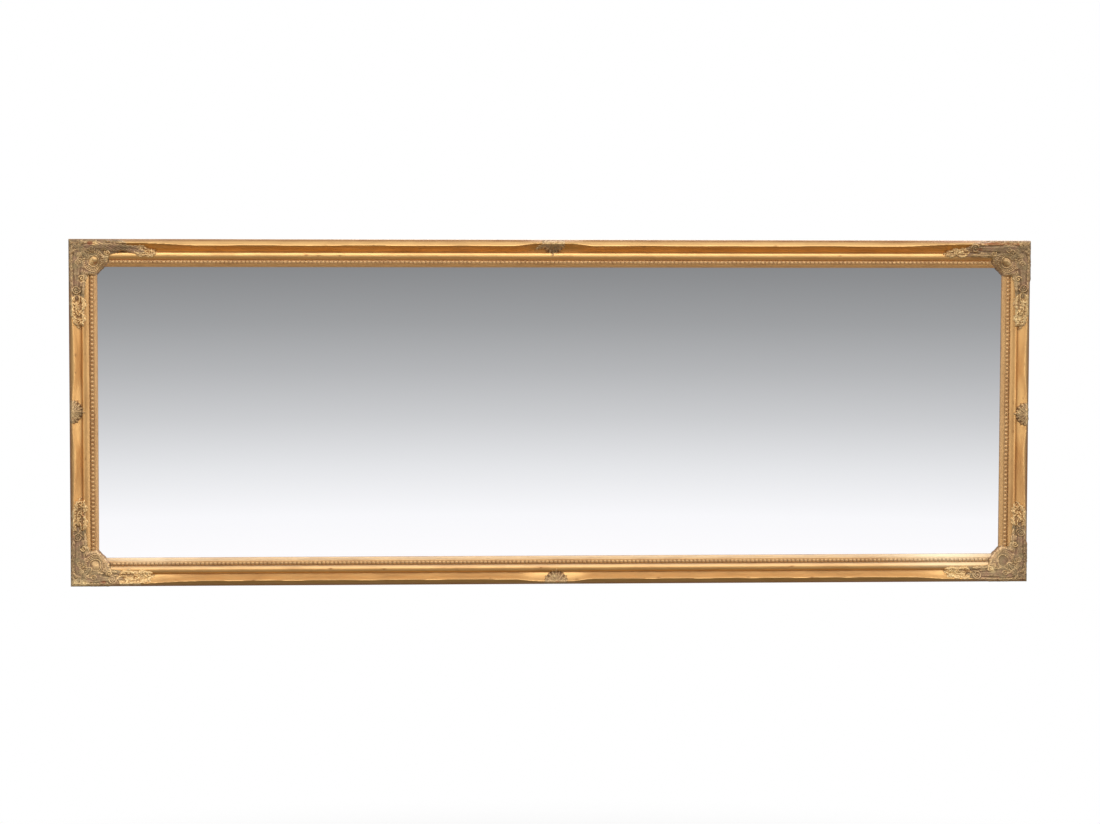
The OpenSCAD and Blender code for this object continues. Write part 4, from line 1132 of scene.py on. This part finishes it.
def wood(name, pale, dark, grain_mm, along):
    """Sawn or peeled wood, unfinished: matt, with long fibres. along is the grain's axis, 0 to 2."""
    material, put = new_material(name)
    place = place_in_mm(put)
    fibre_mm, figure_mm = [[grain_mm * (run if axis == along else across) for axis in range(3)]
                           for across, run in ((1, 26), (9, 90))]
    fibre = put("TexNoise", {"Vector": spread(put, place, *fibre_mm), "Scale": 1, "Detail": 6,
                             "Roughness": 0.65, "Distortion": 0.4})
    figure = put("TexNoise", {"Vector": spread(put, place, *figure_mm), "Scale": 1, "Detail": 3,
                              "Distortion": 0.8})
    both = put("Math", (fibre, 0.55), operation="MULTIPLY")
    both = put("Math", (figure, 0.6, both), operation="MULTIPLY_ADD")
    skin = put("Mix", (put("MapRange", (both, 0.42, 0.76)), pale, dark), data_type="RGBA")
    bump = put("Bump", {"Height": fibre, "Strength": 0.4, "Distance": 0.0002})
    put("OutputMaterial", (put("BsdfPrincipled", {"Base Color": skin, "Roughness": 0.7, "Normal": bump}),))
    return material


def silvered_glass():
    """Float glass, silvered and painted on its back: a clean mirror, with grey paint behind."""
    material, put = new_material("silvered_float_glass")
    facing = put("SeparateXYZ", (put("NewGeometry", out="Normal"),), "Y")
    behind = put("Math", (facing, 0.5), operation="GREATER_THAN")
    front = put("BsdfPrincipled", {"Base Color": "#f7f6f8", "Metallic": 1.0, "Roughness": 0.0})
    cloudy = put("TexNoise", (spread(put, place_in_mm(put), 14, 14, 14), 1, 4))
    paint = put("Mix", (cloudy, "#6d6f70", "#7d7b77"), data_type="RGBA")
    back = put("BsdfPrincipled", {"Base Color": paint, "Roughness": 0.6})
    put("OutputMaterial", (put("MixShader", (behind, front, back)),))
    return material


def matted_fibres(name, fibre_mm, ragged, pale, dark, strength, depth, roughness, sheen):
    """Fibres pressed into a sheet: matt, with a fine mottle of pale and dark fibres that stand up by
    depth. fibre_mm are their sizes."""
    material, put = new_material(name)
    fibres = put("TexNoise", (spread(put, place_in_mm(put), *fibre_mm), 1, 5, ragged))
    skin = put("Mix", (fibres, pale, dark), data_type="RGBA")
    bump = put("Bump", {"Height": fibres, "Strength": strength, "Distance": depth})
    put("OutputMaterial", (put("BsdfPrincipled", {"Base Color": skin, "Roughness": roughness,
                                                  "Sheen Weight": sheen, "Normal": bump}),))
    return material


def worked_metal(name, bright, dull, roughness):
    """Rolled, turned or drawn metal that has dulled in air: fine lines one way and cloudy tarnish."""
    material, put = new_material(name)
    place = place_in_mm(put)
    lines = put("TexNoise", (spread(put, place, 0.4, 0.4, 12), 1, 3))
    clouds = put("TexNoise", (spread(put, place, 6, 6, 6), 1, 5, 0.65))
    skin = put("Mix", (put("MapRange", (clouds, 0.38, 0.66)), bright, dull), data_type="RGBA")
    rough = put("MapRange", (clouds, 0.3, 0.7, roughness - 0.08, roughness + 0.12))
    bump = put("Bump", {"Height": lines, "Strength": 0.3, "Distance": 0.00005})
    put("OutputMaterial", (put("BsdfPrincipled", {"Base Color": skin, "Metallic": 1.0,
                                                  "Roughness": rough, "Normal": bump}),))
    return material


def dress(names, material):
    """Gives carried-over nodes their finish."""
    for name in names:
        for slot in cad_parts[name].material_slots:
            slot.material = material


# ---------------------------------------------------------------- operators
def settle(piece, node, slot, *materials):
    """Gives a new piece its materials, and puts it in the place of a node of the frame."""
    for material in materials:
        piece.data.materials.append(material)
    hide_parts(node)
    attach(piece, "frame")


class PIER_OT_rails(bpy.types.Operator):
    """Make the four mitred lengths of gilt moulding"""
    bl_idname = "pier.rails"
    bl_label = "Moulding"

    def execute(self, context):
        m = in_mm(context.scene.pier_moulding)
        g = context.scene.pier_gilding
        gilt = water_gilding("water_gilt_gesso", g, g.matt_leaf, g.matt_dusty)
        for name, side in SIDES.items():
            bare = wood(f"sawn_pine_{name}", "#b58d5d", "#835c31", 1.6, 0 if side in (BOTTOM, TOP) else 2)
            settle(build_rail(f"{name}_moulding", side, m), RAILS[name], "gilt_moulding", gilt, bare)
        return {"FINISHED"}


class PIER_OT_beading(bpy.types.Operator):
    """Make the rows of pressed beads beside the glass"""
    bl_idname = "pier.beading"
    bl_label = "Beading"

    def execute(self, context):
        m, b = in_mm(context.scene.pier_moulding), in_mm(context.scene.pier_beading)
        g = context.scene.pier_gilding
        gilt = water_gilding("gilt_pressed_composition", g, g.bead_leaf, g.matt_leaf)
        for name, side in SIDES.items():
            settle(build_beading(f"{name}_bead_row", side, m, b), f"{name}_beading", "gilt_beading", gilt)
        return {"FINISHED"}


class PIER_OT_corners(bpy.types.Operator):
    """Make the four corner ornaments"""
    bl_idname = "pier.corners"
    bl_label = "Corner ornaments"

    def execute(self, context):
        floor_h = in_mm(context.scene.pier_ornament).web_back_h - SKIRT_BELOW_WEB
        glazed = glazed_composition("glazed_gilt_composition", context.scene.pier_gilding)
        for right, top in itertools.product((False, True), repeat=2):
            name = f"corner_{'top' if top else 'bottom'}_{'right' if right else 'left'}"
            piece = field_piece(f"{name}_leaves", functools.partial(at_corner, right, top),
                                *corner_field(right, top), floor_h)
            settle(piece, name, "antique_gilt_ornament", glazed)
        return {"FINISHED"}


class PIER_OT_centres(bpy.types.Operator):
    """Make the small ornaments at the middle of the sides"""
    bl_idname = "pier.centres"
    bl_label = "Centre ornaments"

    def execute(self, context):
        floor_h = in_mm(context.scene.pier_moulding).groove_h - SKIRT_BELOW_GROOVE
        glazed = glazed_composition("glazed_gilt_composition_small", context.scene.pier_gilding)
        for name, side in SIDES.items():
            piece = field_piece(f"centre_{name}_leaves", functools.partial(on_side, side),
                                *centre_field(side), floor_h)
            settle(piece, f"centre_{name}", "antique_gilt_ornament", glazed)
        return {"FINISHED"}


class PIER_OT_glass(bpy.types.Operator):
    """Finish the plate, its slips, the paper and the backboard"""
    bl_idname = "pier.glass"
    bl_label = "Glass and backing"

    def execute(self, context):
        dress(["mirror_plate"], silvered_glass())
        # brown sulphate paper: matt, with short darker fibres
        dress(["backing_paper"], matted_fibres("brown_kraft_paper", (2.4, 0.5, 0.6), 0.5, "#b08a5c",
                                               "#8a673f", 0.3, 0.0001, 0.85, 0))
        dress(["backboard"], wood("sanded_birch_plywood", "#dcc59d", "#bb9b69", 1.1, 0))
        dress(["spacer_slips"], wood("split_pine_slips", "#d2b184", "#a8814e", 1.3, 0))
        return {"FINISHED"}


class PIER_OT_fixings(bpy.types.Operator):
    """Finish the turn buttons, hangers, screws, nails and bumpers"""
    bl_idname = "pier.fixings"
    bl_label = "Fixings"

    def execute(self, context):
        buttons = [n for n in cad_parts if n.startswith("button_")]
        dress(buttons + ["strap_left", "strap_right"],
              worked_metal("dulled_rolled_brass", "#dab263", "#a88444", 0.34))
        dress(["mitre_nails", "strap_screws"], worked_metal("bright_steel", "#b9b9ba", "#83817e", 0.36))
        dress(["ring_left", "ring_right"], worked_metal("nickel_plated_wire", "#d3d0c8", "#a5a29b", 0.22))
        # pressed wool felt: matt and fuzzy, dark grey
        dress(["wall_bumpers"], matted_fibres("pressed_wool_felt", (0.7, 0.7, 0.7), 0.75, "#4a4743",
                                              "#22201f", 0.8, 0.0005, 0.95, 0.4))
        return {"FINISHED"}


def only_gloss(piece, material):
    """Makes a card that gloss and glass see, and the camera and the lamps' light don't."""
    piece.data.materials.append(material)
    for ray in ("camera", "diffuse", "shadow", "transmission", "volume_scatter"):
        setattr(piece, f"visible_{ray}", False)


def place_object(name, data, at, aim, roll=0.0):
    """A lamp or a camera that looks at a point."""
    piece = bpy.data.objects.new(name, data)
    piece.location = at
    turn = (Vector(aim) - piece.location).to_track_quat("-Z", "Y")
    piece.rotation_euler = (turn @ Quaternion((0, 0, 1), roll)).to_euler()
    bpy.context.scene.collection.objects.link(piece)
    return piece


def circle(radius, turns, height):
    """Points at the angles turns, in metres, with the glass's front toward -Y at turn 0."""
    return [(radius * math.sin(a), -radius * math.cos(a), height) for a in turns]


def wall_card(name, radius, turns, low, high):
    """An upright curved card."""
    n = len(turns)
    points = np.array(circle(radius, turns, low) + circle(radius, turns, high))
    return new_piece(name, points, [[i, i + 1, n + i + 1, n + i] for i in range(n - 1)])


# lamps: name, place, width, height, and the setting that holds its power
LAMPS = (("key_lamp", (0.5, -1.9, 2.3), 4.4, 2.4, "key_power"),
         ("fill_lamp", (-0.6, -4.2, 2.5), 4.6, 3.2, "fill_power"),
         ("back_lamp", (0.6, 2.6, 1.6), 2.4, 1.6, "back_power"))
# shades of the glowing card that the glass reflects, from the bottom of its share to the top
CARD_GLOW_SHADES = ((0.0, "#ffffff"), (0.14, "#fafbfc"), (0.31, "#e6e8e9"), (0.48, "#cdcfd0"),
                (0.645, "#b6b8b9"), (0.81, "#a0a2a3"), (1.0, "#8a8c8d"))
# the picture's width in pixels, and the sensor's in millimetres
PICTURE_PX = 1100
SENSOR_MM = 36
# the glowing card's radius, arc and top, and how far it and the dim glowing cards stand off the floor, in
# metres
BACKDROP_R = 7.6
BACKDROP_ARC = math.radians(190)
BACKDROP_TOP = 5.0
CARD_GAP = 0.04
SIDE_CARD_GAP = 0.03
FLOOR_CARD_GAP = 0.02
# the dim glowing card's inner and outer radius over the floor
FLOOR_CARD = (2.0, 5.5)
# the dim glowing cards beside and behind the frame: where each starts and ends, in degrees
SIDE_CARDS = {"left_flag": (-95, -160), "right_flag": (160, 95)}
SIDE_CARD_R = 2.4
SIDE_CARD_TOP = 0.9
SIDE_CARD_STEPS = 24
FLOOR_R = 3.2
FLOOR_RINGS = 8
WHITE = (1, 1, 1)


class PIER_OT_stage(bpy.types.Operator):
    """Set up the camera, the lamps, the cards and the floor"""
    bl_idname = "pier.stage"
    bl_label = "Stage"

    def execute(self, context):
        s = context.scene.pier_stage
        data = bpy.data.cameras.new("camera")
        data.sensor_width = SENSOR_MM
        data.lens = s.focal_px / PICTURE_PX * SENSOR_MM
        data.clip_end = 60
        context.scene.camera = place_object("camera", data, s.camera_at, s.camera_aim, s.camera_roll)
        self.world(context)
        self.backdrop(s)
        self.floor(s)
        self.flags(s)
        for name, at, width, height, power in LAMPS:
            data = bpy.data.lights.new(name, "AREA")
            data.shape = "RECTANGLE"
            data.size = width
            data.size_y = height
            data.energy = getattr(s, power)
            place_object(name, data, at, (0, BACK_Y * MM, MIDDLE_Z * MM)).visible_camera = False
        context.scene.view_settings.view_transform = "Standard"
        return {"FINISHED"}

    @staticmethod
    def world(context):
        """White where the camera, gloss and glass look; a plain soft fill for the rest."""
        world = bpy.data.worlds.new("studio")
        world.use_nodes = True
        world.node_tree.nodes.clear()
        put = functools.partial(add, world.node_tree)
        seen = 0
        for kind in ("Camera", "Glossy", "Transmission"):
            ray = put("LightPath", out=f"Is {kind} Ray")
            seen = put("Math", (seen, ray), operation="MAXIMUM")
        level = put("MapRange", (seen, 0, 1, 0.42, 1.0))
        put("OutputWorld", (put("Background", (WHITE, level)),))
        context.scene.world = world

    @staticmethod
    def backdrop(s):
        """A glowing graded card behind the camera that the glass reflects, an emitter in place of a lit paper
        that only gloss and glass see: grey above, white below.
        """
        turns = np.linspace(-0.5, 0.5, s.stage_samples) * BACKDROP_ARC
        piece = wall_card("graded_backdrop", BACKDROP_R, turns, -s.floor_drop + CARD_GAP, BACKDROP_TOP)
        material, put = new_material("graded_paper")
        place = put("NewGeometry", out="Position")
        x, y, z = [put("SeparateXYZ", (place,), axis) for axis in "XYZ"]
        # the glass shows the card from 1.26 m below the hooks' line to 0.10 m below it
        graded = put("ValToRGB", (put("MapRange", (z, -1.255, -0.095)),))
        elements = graded.node.color_ramp.elements
        for i, (at, _) in enumerate(CARD_GLOW_SHADES):
            stop = elements[i] if i < 2 else elements.new(at)
            stop.position = at
        for stop, (_, shade) in zip(elements, CARD_GLOW_SHADES):
            stop.color = (*linear(shade), 1)
        # above the glass's share the card runs back to white
        rise = put("MapRange", (z, 0.8, 3.8), interpolation_type="SMOOTHSTEP")
        shade = put("Mix", (rise, graded, WHITE), data_type="RGBA")
        # both wings of the card glow brighter than its middle, and fall off again at its ends
        wings = put("MapRange", (y, -6.9, -4.8, 1.06, 3.1), interpolation_type="SMOOTHSTEP")
        ends = put("MapRange", (y, -1.0, 0.3, 3.1, 0.4), interpolation_type="SMOOTHSTEP")
        wings = put("Math", (wings, ends), operation="MINIMUM")
        # the right wing is the brighter one
        wings = put("Math", (wings, put("MapRange", (x, 2.9, 6.5, 1.0, 1.35))), operation="MULTIPLY")
        put("OutputMaterial", (put("Emission", (shade, wings)),))
        only_gloss(piece, material)

    @staticmethod
    def flags(s):
        """Dim grey glowing cards that only gloss sees, standing in for dark cloths that keep glare off the
        gilding: over the floor, and beside and behind the frame.
        """
        material, put = new_material("grey_cloth")
        away = put("VectorMath", (put("NewGeometry", out="Position"),), operation="LENGTH")
        fade = put("MapRange", (away, 2.6, 5.5), interpolation_type="SMOOTHSTEP")
        shade = put("Mix", (fade, (0.26, 0.26, 0.26), WHITE), data_type="RGBA")
        put("OutputMaterial", (put("Emission", (shade, 1.0)),))
        n = s.stage_samples
        turns = np.linspace(0, 2 * np.pi, n, endpoint=False) + np.pi / 2
        height = -s.floor_drop + FLOOR_CARD_GAP
        rings = np.array([p for radius in FLOOR_CARD for p in circle(radius, turns, height)])
        only_gloss(new_piece("floor_flag", rings, ring_faces(2, n) + [list(range(n))]), material)
        for name, (first, last) in SIDE_CARDS.items():
            turns = np.radians(np.linspace(first, last, SIDE_CARD_STEPS))
            only_gloss(wall_card(name, SIDE_CARD_R, turns, -s.floor_drop + SIDE_CARD_GAP, SIDE_CARD_TOP),
                       material)

    @staticmethod
    def floor(s):
        """A round pale floor that fades into the white round it and keeps the frame's shadow."""
        n = s.stage_samples
        turns = np.linspace(0, 2 * np.pi, n, endpoint=False) + np.pi / 2
        points = np.array([p for i in range(FLOOR_RINGS)
                           for p in circle(FLOOR_R * (i + 1) / FLOOR_RINGS, turns, -s.floor_drop)])
        faces = ring_faces(FLOOR_RINGS, n, flip=True) + [list(range(n))]
        piece = new_piece("floor", points, faces, smooth=False)
        material, put = new_material("pale_floor")
        place = put("NewGeometry", out="Position")
        away = put("VectorMath", (place, (0, 0, -s.floor_drop)), operation="DISTANCE")
        fade = put("MapRange", (away, 1.2, 3.1), interpolation_type="SMOOTHSTEP")
        fade = put("Math", (fade, put("NewGeometry", out="Backfacing")), operation="MAXIMUM")
        grain = put("TexNoise", (spread(put, place_in_mm(put), 40, 40, 40), 1, 3))
        pale = put("Mix", (grain, "#f4f3f1", "#efeeec"), data_type="RGBA")
        put("OutputMaterial", (put("MixShader", (fade, put("BsdfDiffuse", (pale,)),
                                                 put("BsdfTransparent"))),))
        piece.data.materials.append(material)


STEPS = (PIER_OT_stage, PIER_OT_rails, PIER_OT_beading, PIER_OT_corners, PIER_OT_centres, PIER_OT_glass,
         PIER_OT_fixings)


class PIER_PT_panel(bpy.types.Panel):
    """Lists the steps that dress the mirror"""
    bl_idname = "PIER_PT_panel"
    bl_label = "Pier Mirror"
    bl_space_type = "VIEW_3D"
    bl_region_type = "UI"
    bl_category = "Pier Mirror"

    def draw(self, context):
        for step in STEPS:
            self.layout.operator(step.bl_idname)


GROUPS = {"pier_moulding": MouldingSettings, "pier_beading": BeadingSettings,
          "pier_ornament": OrnamentSettings, "pier_gilding": GildingSettings, "pier_stage": StageSettings}
CLASSES = (*GROUPS.values(), *STEPS, PIER_PT_panel)


def register():
    for item in CLASSES:
        bpy.utils.register_class(item)
    for name, group in GROUPS.items():
        setattr(bpy.types.Scene, name, PointerProperty(type=group))


def unregister():
    for name in GROUPS:
        delattr(bpy.types.Scene, name)
    for item in reversed(CLASSES):
        bpy.utils.unregister_class(item)


def main():
    register()
    for step in STEPS:
        category, name = step.bl_idname.split(".")
        getattr(getattr(bpy.ops, category), name)()


if __name__ == "__main__":
    main()
